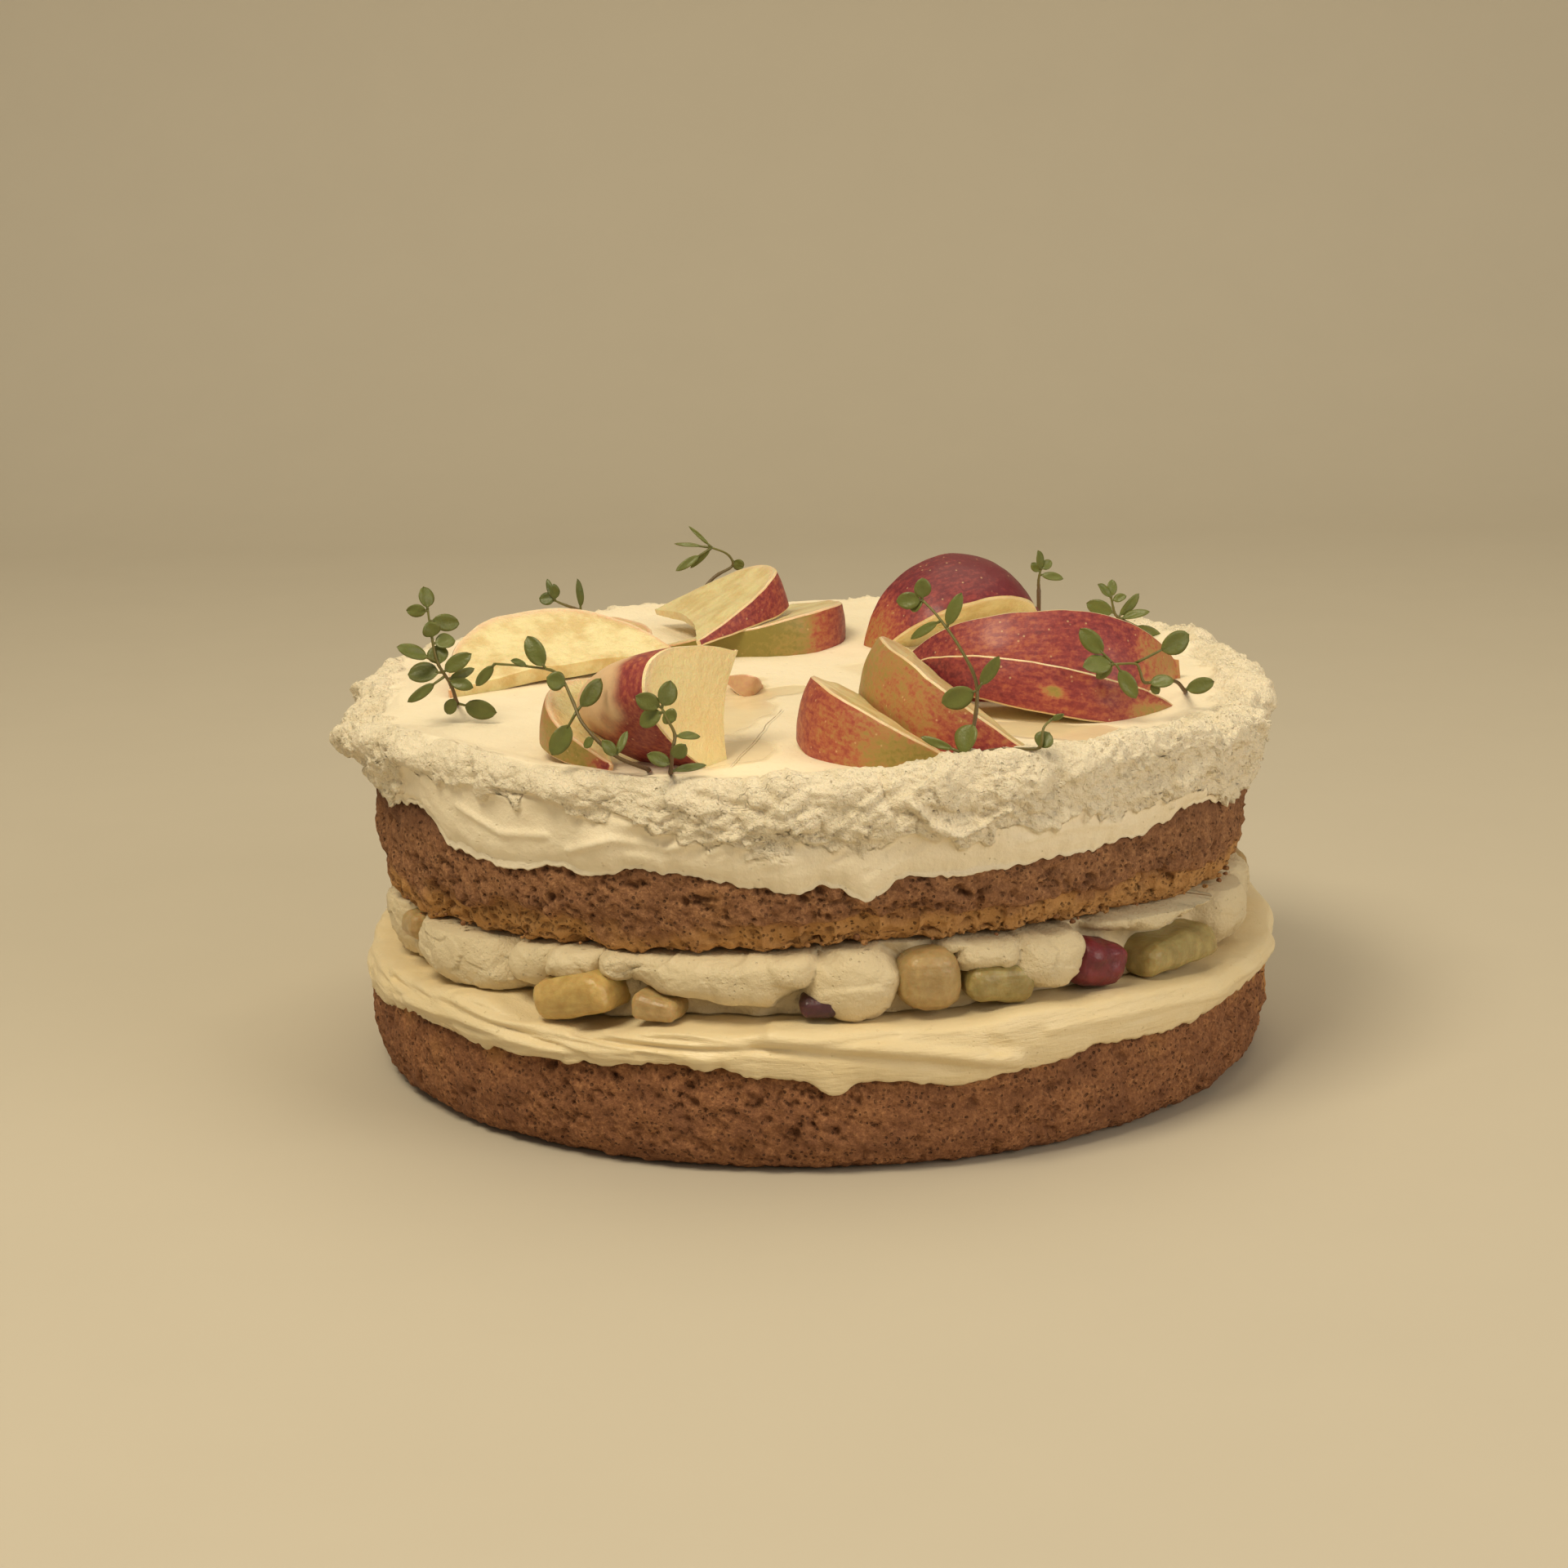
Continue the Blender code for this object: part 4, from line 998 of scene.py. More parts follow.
lowerCream = dict(
    turns=900,
    rowCounts=(2, 6, 5, 9, 10, 4, 2, 2),
    innerRadii=(50.0, 84.0, 94.0),
    drawnIn=1.8,  # at the left
    tip=(1.2, 1.6, 1.8),  # the drop at the front: azimuth, half width in degrees, depth
    ridge=0.55,
    streak=0.35,
    swell=0.6,
    wrinkle=0.7,
    deepest=-1.4,
    highest=1.6,
    strokeRadius=101,
    drip=(-16, 7, 27, 3),  # the syrup on the front: azimuth, half width, height, half height
)
lowerStrokes = (
    (((-6, 29.4), (4, 28.0), (13, 25.6), (22, 22.4)), 1.5, 1.5),
    (((-8, 27.6), (2, 26.2), (11, 23.8), (18, 21.0)), -1.0, 0.9),
    (((-66, 26.4), (-50, 27.6), (-38, 26.2), (-28, 23.6)), -0.9, 0.7),
    (((-60, 24.6), (-46, 25.4), (-34, 24.2), (-22, 25.0)), 0.8, 0.8),
    (((-30, 27.4), (-18, 27.0), (-4, 27.4), (8, 29.6)), -0.6, 0.6),
    (((26, 27.6), (40, 27.2), (54, 25.4), (68, 25.8)), 0.6, 1.1),
    (((100, 27.0), (125, 24.2), (150, 26.8)), -0.8, 0.9),
    (((190, 26.8), (215, 26.0), (240, 24.4)), 0.8, 1.0),
)


def addLowerCream():
    c = lowerCream
    azimuths = evenAzimuths(c["turns"])
    turn = signed(azimuths)
    side = baseSide(azimuths)
    edge = pointsAt(azimuths, side, 0)
    ragged = smooth(20, -10, turn)
    hem = around(lowerEdges["hem"], azimuths) + (0.35 + 0.6 * ragged) * wavy(edge, 4, 93)
    tipAt, tipWidth, tipDepth = c["tip"]
    fromTip = (turn - tipAt) / tipWidth
    hem = hem + 0.4 * wavy(edge, 1.8, 94) - tipDepth * np.exp(-fromTip * fromTip)
    lip = fillingFloor(azimuths, radii["base"])
    side = side - c["drawnIn"] * between(turn, (-130, -104), (-50, -74))
    fold = 0.8 * lumps(edge, 14, 5)
    keyRows = [(radius, fillingFloor(azimuths, radius)) for radius in c["innerRadii"]] + [
        (side + 0.4, lip), (side + 2.2 + fold, lip - 1.8), (side + 2.4 + fold, (lip + 2 * hem) / 3),
        (side + 1.3, hem), (side + gap, hem + 0.7), (side + gap, levels["baseTop"] - 0.4),
    ]
    grid, places = layerGrid(azimuths, keyRows, c["rowCounts"])
    shown = between(places, (1.6, 2.4), (6.6, 6.1))[None, :]
    height, turn = grid[..., 2], turn[:, None]
    streak = np.stack([np.radians(azimuths[:, None]) * 100 + 0 * height, height, 0 * height], -1)
    ridges = 0.5 - np.abs(wavy(streak, (30, 2.0, 1), 95)) * 1.7
    calm = between(turn, (-12, 0), (110, 90))
    move = c["ridge"] * ridges + c["streak"] * wavy(streak, (16, 3.2, 1), 96)
    move = move * (1 - 0.7 * calm) + c["swell"] * wavy(grid, 13, 97)
    wrinkled = between(turn, (-90, -70), (-16, -34))
    move += wrinkled * c["wrinkle"] * (0.5 - np.abs(wavy(streak, (20, 2.2, 1), 98)) * 1.6)
    move += strokes(azimuths[:, None], height, c["strokeRadius"], lowerStrokes)
    shaped = grid + outward(grid) * (np.clip(move, c["deepest"], c["highest"]) * shown)[..., None]
    floorZ = levels["fillingFloor"]
    points, faces = layerMesh(shaped, floorZ, levels["baseTop"] + gap)
    drips = smooth(0.45, 0.9, wavy(grid, (16, 16, 9), 99)) * shown
    dripAt, dripWidth, dripZ, dripHeight = c["drip"]
    fromDrip = np.hypot((turn - dripAt) / dripWidth, (height - dripZ) / dripHeight)
    drips = np.maximum(drips, 0.7 * smooth(1.3, 0.4, fromDrip))
    fields = {
        "rough": layerField(0.02 + 0.3 * wrinkled + 0 * height),
        "wet": layerField(0.55 * drips),
    }
    look = creamLook
    made = creamMaterial(
        "custardCream", look["custard"], look["custardDeep"],
        roughness=0.42, grainSize=2.2, grainDepth=0.4, streaky=0.9,
    )
    addPiece("lowerCream", points, faces, [made], ["cream_lower"], fields)


filling = dict(
    turns=1200,
    rows=52,
    # dollops: azimuth, height, half width and half height, how far it stands out
    dollops=(
        (-77, 37.0, 9, 6.4, 8.5), (-65, 36.6, 6, 5.0, 7.0), (-53, 36.4, 11.5, 8.2, 11.0),
        (-38.5, 38.5, 3.8, 6.0, 8.5), (-32.5, 39.8, 4.6, 4.6, 10.5), (-25.4, 40.6, 3.6, 3.4, 9.5),
        (-12.5, 39.6, 11.5, 5.8, 11.0), (-4.5, 41.2, 5.0, 4.4, 10.4), (4, 38.6, 5.8, 7.6, 10.0),
        (18, 44.4, 4.5, 2.0, 7.5), (20.5, 42.0, 4.2, 3.8, 9.5), (28.2, 39.6, 6.4, 6.2, 11.0),
        (50, 43.2, 14, 2.8, 9.0), (70, 37.6, 8, 6.2, 9.5), (84, 37.0, 9, 5.8, 8.5),
        (107, 37.5, 10, 6.2, 9.0), (125, 39.0, 7, 4.8, 8.5), (143, 37.0, 11, 6.6, 9.5),
        (163, 39.5, 8, 4.8, 8.0), (180, 37.0, 10, 6.2, 9.5), (200, 38.5, 9, 5.2, 8.5),
        (218, 37.0, 10, 6.2, 9.0), (238, 38.5, 8, 5.2, 8.5), (256, 37.0, 11, 6.2, 9.0),
        (272, 38.0, 8, 5.8, 8.0),
    ),
    # those that hang down to the lower cream
    resting=(-77, -65, -53, 4, 70, 84, 107, 143, 180, 218, 256),
    roundness=(2.4, 2.6, 0.42),  # of a dollop: along, up, and outwards
    bend=1.7,  # degrees by which the dollops' sides waver
    lift=1.1,
    step=0.40,
    flat=0.30,
    smallFlat=0.08,
    fine=0.10,
    furthest=1.2,  # the fine shape moves no point more than this
)


def addFilling():
    f = filling
    azimuths = evenAzimuths(f["turns"])[:, None]
    core = radii["filling"]
    roof, floorZ = fillingRoof(azimuths, core) - gap, fillingFloor(azimuths, core) + gap
    z = roof + (floorZ - roof) * np.linspace(0.01, 0.99, f["rows"])[None, :]
    bent = azimuths + f["bend"] * wavy(pointsAt(azimuths, core, z), 9, 101)
    lifted = z + f["lift"] * wavy(pointsAt(azimuths, core, z), 7, 102)
    radius = np.full(z.shape, core)
    along, upwards, outwards = f["roundness"]
    for middle, height, halfWidth, halfHeight, out in f["dollops"]:
        turn = signed(bent - middle)
        rise = lifted - height
        hanging = middle in f["resting"]
        toFloor = np.maximum(halfHeight, 1.12 * (height - floorZ))
        tall = np.where((rise < 0) & hanging, toFloor, halfHeight)
        reach = np.abs(turn / halfWidth) ** along + np.abs(rise / tall) ** upwards
        radius = np.maximum(radius, core + out * np.maximum(0, 1 - reach) ** outwards)
    radius = np.maximum(radius, core + 1.5 + 1.5 * wavy(pointsAt(azimuths, core, z), 5, 103))
    z = np.minimum(z, fillingRoof(azimuths, radius) - gap)
    z = np.maximum(z, fillingFloor(azimuths, np.minimum(radius, radii["base"])) + gap)
    outer = pointsAt(azimuths, radius, z)
    loose = stirred(outer, 6, 1.2, 108)
    move = f["step"] * terraces(1.2 * wavy(loose, (16, 16, 8), 104), 0.14)
    move += f["fine"] * wavy(outer, 2.6, 105)
    move += f["flat"] * facets(loose, (9, 9, 6), 106) + f["smallFlat"] * facets(loose, 2.6, 109)
    outer = outer + outward(outer) * np.clip(move, -f["furthest"], f["furthest"])[..., None]
    inner = [pointsAt(azimuths, r, fillingRoof(azimuths, r) - gap) for r in (60.0, 84.0)]
    under = [pointsAt(azimuths, r, fillingFloor(azimuths, r) + gap) for r in (84.0, 60.0)]
    grid = np.concatenate([*inner, outer, *under], axis=1)
    points, faces = layerMesh(grid, levels["fillingRoof"] - gap, levels["fillingFloor"] + gap)
    rough = 0.4 + 0.4 * smooth(-0.2, 0.5, wavy(grid, 10, 107))
    fields = {"rough": layerField(rough), "wet": np.zeros(len(points))}
    look = creamLook
    made = creamMaterial(
        "whippedCreamFilling", look["filling"], look["patchAndRecessShade"],
        roughness=0.6, grainSize=1.4, grainDepth=0.7,
    )
    addPiece("fillingCream", points, faces, [made], ["cream_filling"], fields)


addLowerCream()
addFilling()
addTopCream()
print("stage: creams")


fruitColours = dict(
    yellow=((200, 172, 106), (178, 146, 82)),
    tan=((184, 158, 108), (160, 132, 84)),
    green=((172, 154, 98), (142, 124, 72)),
    grey=((188, 164, 122), (158, 132, 92)),
    red=((124, 40, 48), (92, 26, 36)),
    dark=((86, 44, 50), (56, 28, 34)),
)

# the fruit in the filling: azimuth, radius, height of the middle, width, depth, height, lean, colour
chunks = (
    (-66.5, 92, 37.4, 11, 12, 5.4, 0, "tan"), (-45, 87, 34.0, 12, 12, 6.0, -8, "grey"),
    (-31, 93.5, 34.0, 19, 15, 9.0, -15, "yellow"), (-20.2, 93, 33.0, 10, 13, 5.4, 8, "tan"),
    (-0.7, 91.5, 34.2, 8, 12, 4.4, 0, "dark"), (13.1, 91.5, 38.3, 13.5, 14, 14.2, 3, "tan"),
    (22.4, 91, 36.2, 15.5, 13, 7.8, 9, "green"), (36.8, 92, 36.4, 14, 12, 10.6, 12, "red"),
    (52, 91, 34.6, 26, 14, 8.4, 0, "green"), (95, 92, 35.6, 14, 14, 9.0, 6, "tan"),
    (134, 91, 35.2, 12, 12, 7.4, -8, "yellow"), (155, 92, 36.0, 15, 14, 8.0, 6, "tan"),
    (190, 92, 35.8, 13, 14, 8.4, -6, "red"), (228, 92, 35.6, 14, 14, 8.0, 0, "yellow"),
    (247, 91, 34.8, 11, 12, 7.4, 6, "tan"),
)


def fruitMaterial(name, pale, deep):
    made, tree, shader = newMaterial(
        name, Roughness=0.42, Subsurface_Weight=0.4, Subsurface_Scale=0.004,
        Coat_Weight=0.12, Coat_Roughness=0.2,
    )
    place = objectPlace(tree)
    colour = ramp(tree, grain(tree, place, 3.5, 4), [(0.34, deep), (0.66, pale)])
    tree.links.new(colour, shader.inputs["Base Color"])
    relief(tree, shader, (grain(tree, place, 1.6, 4), 0.35))
    return made


chunkShape = dict(uneven=0.16, wear=0.36, wave=0.5, fine=0.16)


def chunkMesh(width, depth, height, seed):
    # a cut piece of soft fruit: worn edges, no two sides alike, and a fine uneven surface
    work = bmesh.new()
    bmesh.ops.create_cube(work, size=1)
    for vertex in work.verts:
        corner = Vector([math.copysign(1, value) for value in vertex.co])
        shift = [Vector((seed + axis, seed, axis)) for axis in range(3)]
        uneven = Vector([chunkShape["uneven"] * noise.noise(corner * 1.7 + step) for step in shift])
        vertex.co += uneven - 0.06 * vertex.co
        vertex.co = Vector((vertex.co.x * width, vertex.co.y * depth, vertex.co.z * height))
    wear = chunkShape["wear"] * min(width, depth, height)
    bmesh.ops.bevel(work, geom=list(work.edges), offset=wear, segments=4, profile=0.5, affect="EDGES")
    bmesh.ops.triangulate(work, faces=[face for face in work.faces if len(face.verts) > 4])
    bmesh.ops.subdivide_edges(work, edges=list(work.edges), cuts=3, use_grid_fill=True)
    longEdges = [edge for edge in work.edges if edge.calc_length() > 1.1]
    bmesh.ops.subdivide_edges(work, edges=longEdges, cuts=1, use_grid_fill=True)
    work.normal_update()
    points = np.array([tuple(vertex.co) for vertex in work.verts])
    normals = np.array([tuple(vertex.normal) for vertex in work.verts])
    faces = [[vertex.index for vertex in face.verts] for face in work.faces]
    work.free()
    move = chunkShape["wave"] * wavy(points, 7, seed) + chunkShape["fine"] * wavy(points, 1.6, seed + 1)
    return points + normals * move[:, None], faces


def addChunks():
    materials = {}
    for number, (azimuth, radius, z, width, depth, height, lean, colour) in enumerate(chunks):
        if colour not in materials:
            materials[colour] = fruitMaterial(f"{colour}Fruit", *fruitColours[colour])
        points, faces = chunkMesh(width, depth, height, number * 3.7)
        turn = turned(azimuth, "Z") @ turned(lean, "Y")
        points = points @ np.array(turn).T + pointsAt(azimuth, radius, z)
        node = f"fruit_chunk_{number + 1:02d}"
        addPiece(f"fruitPiece{number + 1:02d}", points, faces, [materials[colour]], [node])


addChunks()
print("stage: fruit in the filling")


appleLook = dict(
    # skin, from green to deep red
    skin=(
        (0.0, (140, 126, 60)), (0.2, (160, 138, 72)), (0.4, (178, 128, 78)), (0.58, (174, 92, 68)),
        (0.76, (146, 60, 58)), (1.0, (106, 34, 44)),
    ),
    flesh=(230, 214, 158),
    fleshDeep=(208, 180, 116),
    fleshPink=(212, 142, 116),
    freshFlesh=(250, 230, 170),
    edge=(234, 212, 172),
    paleSkinAndBounce=(228, 194, 150),  # where the skin is pale: its own paler colour, with painted light from the cream on left_red
    dots=(226, 190, 140),
)


def skinMaterial():
    # glazed apple skin: streaks along the apple and pale dots; field blush runs from green to red, and
    # the pale-skin field is 1 where the skin is painted pale, partly unblushed and on left_red partly
    # painted light
    made, tree, shader = newMaterial(
        "glazedAppleSkin", Roughness=0.5, Coat_Weight=0.12, Coat_Roughness=0.2,
        Specular_IOR_Level=0.35, Subsurface_Weight=0.08, Subsurface_Scale=0.002,
    )
    grown = field(tree, "grown", "Vector")
    streaked = addNode(tree, "Mapping", {"Vector": grown, "Scale": (0.25, 1.0, 1.0)}).outputs[0]
    streaks = spread(tree, grain(tree, streaked, 1.1, 4, 0.65), 0.34, 0.66)
    mottle = spread(tree, grain(tree, grown, 1.1, 4, 0.65), 0.34, 0.66)
    lively = plus(tree, times(tree, streaks, 0.2), times(tree, mottle, 0.18))
    blush = plus(tree, field(tree, "blush"), without(tree, lively, 0.19))
    colour = ramp(tree, blush, appleLook["skin"])
    dots = times(tree, spread(tree, speckle(tree, grown, 2.6), 0.13, 0.05), 0.5)
    colour = painted(
        tree, colour, (field(tree, "paleSkinAndBounce"), appleLook["paleSkinAndBounce"]), (dots, appleLook["dots"]),
    )
    tree.links.new(colour, shader.inputs["Base Color"])
    relief(tree, shader, (grain(tree, grown, 3.0, 3), 0.25), (grain(tree, grown, 0.9, 2), 0.05))
    return made


def fleshMaterial():
    # moist cut apple, a little browned in patches: field nearSkin runs from 1 at the skin to 0 inside,
    # pinkness colours it there, fresh makes it paler, and cutEdge marks the line between cut and skin
    made, tree, shader = newMaterial(
        "cutAppleFlesh", Roughness=0.36, Subsurface_Weight=0.25, Subsurface_Scale=0.004,
        Coat_Weight=0.4, Coat_Roughness=0.18,
    )
    grown = field(tree, "grown", "Vector")
    patch = grain(tree, grown, 7, 4, 0.6)
    pink = times(tree, spread(tree, field(tree, "nearSkin"), 0.25, 1.0), field(tree, "pinkness"))
    colour = painted(
        tree, linear(appleLook["flesh"]),
        (spread(tree, patch, 0.38, 0.68), appleLook["fleshDeep"]),
        (pink, appleLook["fleshPink"]),
        (field(tree, "fresh"), appleLook["freshFlesh"]),
        (times(tree, field(tree, "cutEdge"), 0.8), appleLook["edge"]),
    )
    tree.links.new(colour, shader.inputs["Base Color"])
    relief(tree, shader, (grain(tree, grown, 2.0, 4, 0.6), 0.5), (grain(tree, grown, 0.6, 2), 0.12))
    return made


# the apple wedges: name, x, y of the middle, turn, roll, pitch, length, opening, apple radius, then:
# blush (0 green to 1 deep red), how it changes along and across, and how pink the flesh is near the skin
wedges = (
    ("left_long", -61.5, 16, 25, -79, 3, 56, 24, 31.5, 0.62, 0.10, 0.0, 0.75),
    ("left_behind", -46.5, 36, -38, -95, -5, 32, 21, 23, 0.55, 0.0, 0.0, 0.95),
    ("left_red", -31.9, -73.5, 81.8, -46.9, 64.3, 28, 40.8, 35.4, 0.72, 0.0, 0.0, 0.2),
    ("left_flat", -49.7, -64.8, -93.6, 78.9, -12.5, 39.2, 26.1, 21, 0.38, -0.28, 0.0, 0.6),
    ("small_end", -14.5, -10, 4.9, 82.6, -17.8, 8, 23.3, 12.9, 0.52, 0.0, 0.0, 0.9),
    ("back_upright", -17.6, 47.7, 104.1, 70.4, 0.1, 45, 17.3, 31.6, 0.70, -0.05, 0.0, 0.3),
    ("back_low", -7, 45.2, 52, 88.2, 2.7, 52.2, 21.9, 34.5, 0.15, 0.3, -0.05, 0.5),
    ("dome", 33.5, 42.1, 20.7, 25.4, 9.6, 46.2, 52.1, 22.9, 0.98, 0.2, 0.06, 0.05),
    ("red_upper", 47.8, -13.6, -3.5, 71.9, 4, 65.1, 53.5, 28.7, 0.80, -0.04, 0.0, 0.15),
    ("red_front", 49.5, -36.1, -4.8, 78.5, -11, 58.6, 24.2, 25.5, 0.73, -0.10, 0.0, 0.3),
    ("front_red", 6.6, -67.5, -65.8, 77.8, -7.3, 49.5, 34.1, 25.5, 0.62, -0.22, 0.0, 0.3),
    ("front_tall", 22.1, -51.8, -65, 77.7, -12.7, 65.7, 43, 26.7, 0.38, 0.17, 0.0, 0.2),
)
# patches of another blush on a wedge's skin: place along and across (-1 to 1), half sizes, change
blushPatches = dict(
    left_red=((0.9, 0.5, 0.3, 0.8, -0.2),),
    left_flat=((0.98, 0.0, 0.11, 1.5, 0.6),),
    back_low=((0.6, 0.0, 1.0, 2.5, 0.5),),
    dome=((-0.95, 0.0, 0.30, 1.5, -0.38),),
    red_upper=((0.92, 0.0, 0.22, 1.5, -0.35), (-0.3, 0.2, 0.5, 0.9, -0.12)),
    red_front=(
        (0.02, -0.05, 0.09, 0.22, -0.55), (0.85, -0.3, 0.28, 0.9, -0.40), (-0.85, -0.2, 0.3, 1.0, 0.1),
    ),
    front_red=((0.85, -0.2, 0.3, 1.2, -0.28), (-0.8, 0.0, 0.3, 1.2, 0.12)),
    front_tall=((0.8, -0.2, 0.35, 1.2, 0.22), (-0.6, 0.0, 0.4, 1.2, -0.05)),
)
freshShares = dict(left_red=0.8, back_upright=0.2)  # how freshly cut, for the paler ones
# wedges with pale skin, on left_red partly unblushed and partly painted light reflected from the cream:
# beyond this place across (-1 to 1), past this place along, how pale
paleSkinAndBounceWedges = dict(left_red=(-0.3, -0.45, 0.9), small_end=(-3.0, -3.0, 0.55))
wedgeShape = dict(
    core=8.0,  # radius of what is cut out round the apple's middle
    coreTaper=0.45,
    thinnest=0.8,
    stations=60,
    arc=26,
    cut=12,
    chamfer=0.45,
    uneven=0.35,
    endPower=2.4,  # these two shape the apple's outline
    roundPower=0.62,
    skinDepth=3.2,  # how deep the colour next to the skin goes
    sharpAngle=38,
)


def wedgeRing(angleHalf, skin, core):
    # one station's outline across the wedge: (angle, radius, part), skin first, then round the two cuts
    w = wedgeShape
    bite = min(w["chamfer"], 0.3 * (skin - core))
    lip = angleHalf - bite / skin
    ring = [(lip * (2 * k / (w["arc"] - 1) - 1), skin, 0) for k in range(w["arc"])]
    wide, steps = skin - bite - core, w["cut"]
    ring += [(angleHalf, skin - bite - wide * k / steps, 1) for k in range(steps + 1)]
    ring += [(-angleHalf, core + wide * k / steps, 2) for k in range(steps + 1)]
    return ring


def wedgeMesh(length, opening, appleRadius, seed, uneven):
    w = wedgeShape
    half = math.radians(opening) / 2
    middle = (w["core"] + appleRadius) / 2
    points, across, along, depth, edge = [], [], [], [], []
    for station in range(w["stations"] + 1):
        t = math.cos(math.pi * (1 - station / w["stations"]))
        skin = appleRadius * max(0, 1 - abs(t) ** w["endPower"]) ** w["roundPower"]
        core = w["core"] * (1 - w["coreTaper"] * t * t)
        skin = max(skin, core + w["thinnest"])
        for angle, radius, part in wedgeRing(half, skin, core):
            points.append((t * length / 2, radius * math.sin(angle), radius * math.cos(angle) - middle))
            across.append(angle / half)
            along.append(t)
            depth.append(0.0 if part == 0 else skin - radius)
            edge.append(1.0 if part and skin - radius < w["chamfer"] + 0.1 else 0.0)
    ring = len(wedgeRing(half, appleRadius, w["core"]))
    points = np.array(points)
    lastRing = range(len(points) - 1, len(points) - ring - 1, -1)
    faces, finish = [tuple(range(ring)), tuple(lastRing)], [1, 1]
    for station in range(w["stations"]):
        for k in range(ring):
            low, high, following = station * ring, (station + 1) * ring, (k + 1) % ring
            faces.append((low + k, high + k, high + following, low + following))
            finish.append(0 if k < w["arc"] - 1 else 1)
    shifted = points + seed * 31.0
    for axis in range(3):
        points[:, axis] += uneven * wavy(shifted, 11, axis + 7)
        points[:, axis] += 0.3 * uneven * wavy(shifted, 3.5, axis + 17)
    return points, faces, finish, np.array(across), np.array(along), np.array(depth), np.array(edge)


def addWedges():
    skin, flesh = skinMaterial(), fleshMaterial()
    for number, row in enumerate(wedges):
        name, x, y, turn, roll, pitch, length, opening, appleRadius = row[:9]
        blush, alongGain, acrossGain, pinkness = row[9:]
        uneven = wedgeShape["uneven"] * min(1, length / 40)
        shape = wedgeMesh(length, opening, appleRadius, number, uneven)
        local, faces, finish, across, along, depth, edge = shape
        colour = blush + alongGain * along + acrossGain * across
        for t0, v0, halfT, halfV, change in blushPatches.get(name, ()):
            reach = np.hypot((along - t0) / halfT, (across - v0) / halfV)
            colour += change * smooth(1.3, 0.4, reach + 0.25 * wavy(local + number * 9, 6, 5))
        # the pale skin: on left_red partly painted light reflected from the cream, on small_end only a
        # paler colour
        paleSkinAndBounce = np.zeros(len(local))
        if name in paleSkinAndBounceWedges:
            beyond, before, amount = paleSkinAndBounceWedges[name]
            ragged = 0.22 * wavy(local + number * 9, 5, 6)
            paleSkinAndBounce = amount * smooth(beyond - 0.25, beyond + 0.25, across + ragged)
            paleSkinAndBounce *= smooth(before - 0.15, before + 0.15, along + ragged)
        tilt = turned(turn, "Z") @ turned(-pitch, "Y") @ turned(roll, "X")
        points = local @ np.array(tilt).T + np.array([x, y, 0.0])
        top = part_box(f"wedge_{name}")[1][2] / mm  # its highest point is where the solid has it
        points[:, 2] += top - points[:, 2].max()
        fields = {
            "grown": (local + number * 47.0) * mm,
            "blush": colour,
            "paleSkinAndBounce": paleSkinAndBounce,
            "nearSkin": np.exp(-depth / wedgeShape["skinDepth"]),
            "cutEdge": edge,
            "fresh": np.full(len(points), freshShares.get(name, 0.0)),
            "pinkness": np.full(len(points), pinkness),
        }
        addPiece(
            f"appleWedge_{name}", points, faces, [skin, flesh], [f"wedge_{name}"], fields,
            faceMaterials=finish, sharp=wedgeShape["sharpAngle"],
        )


addWedges()
print("stage: apple wedges")


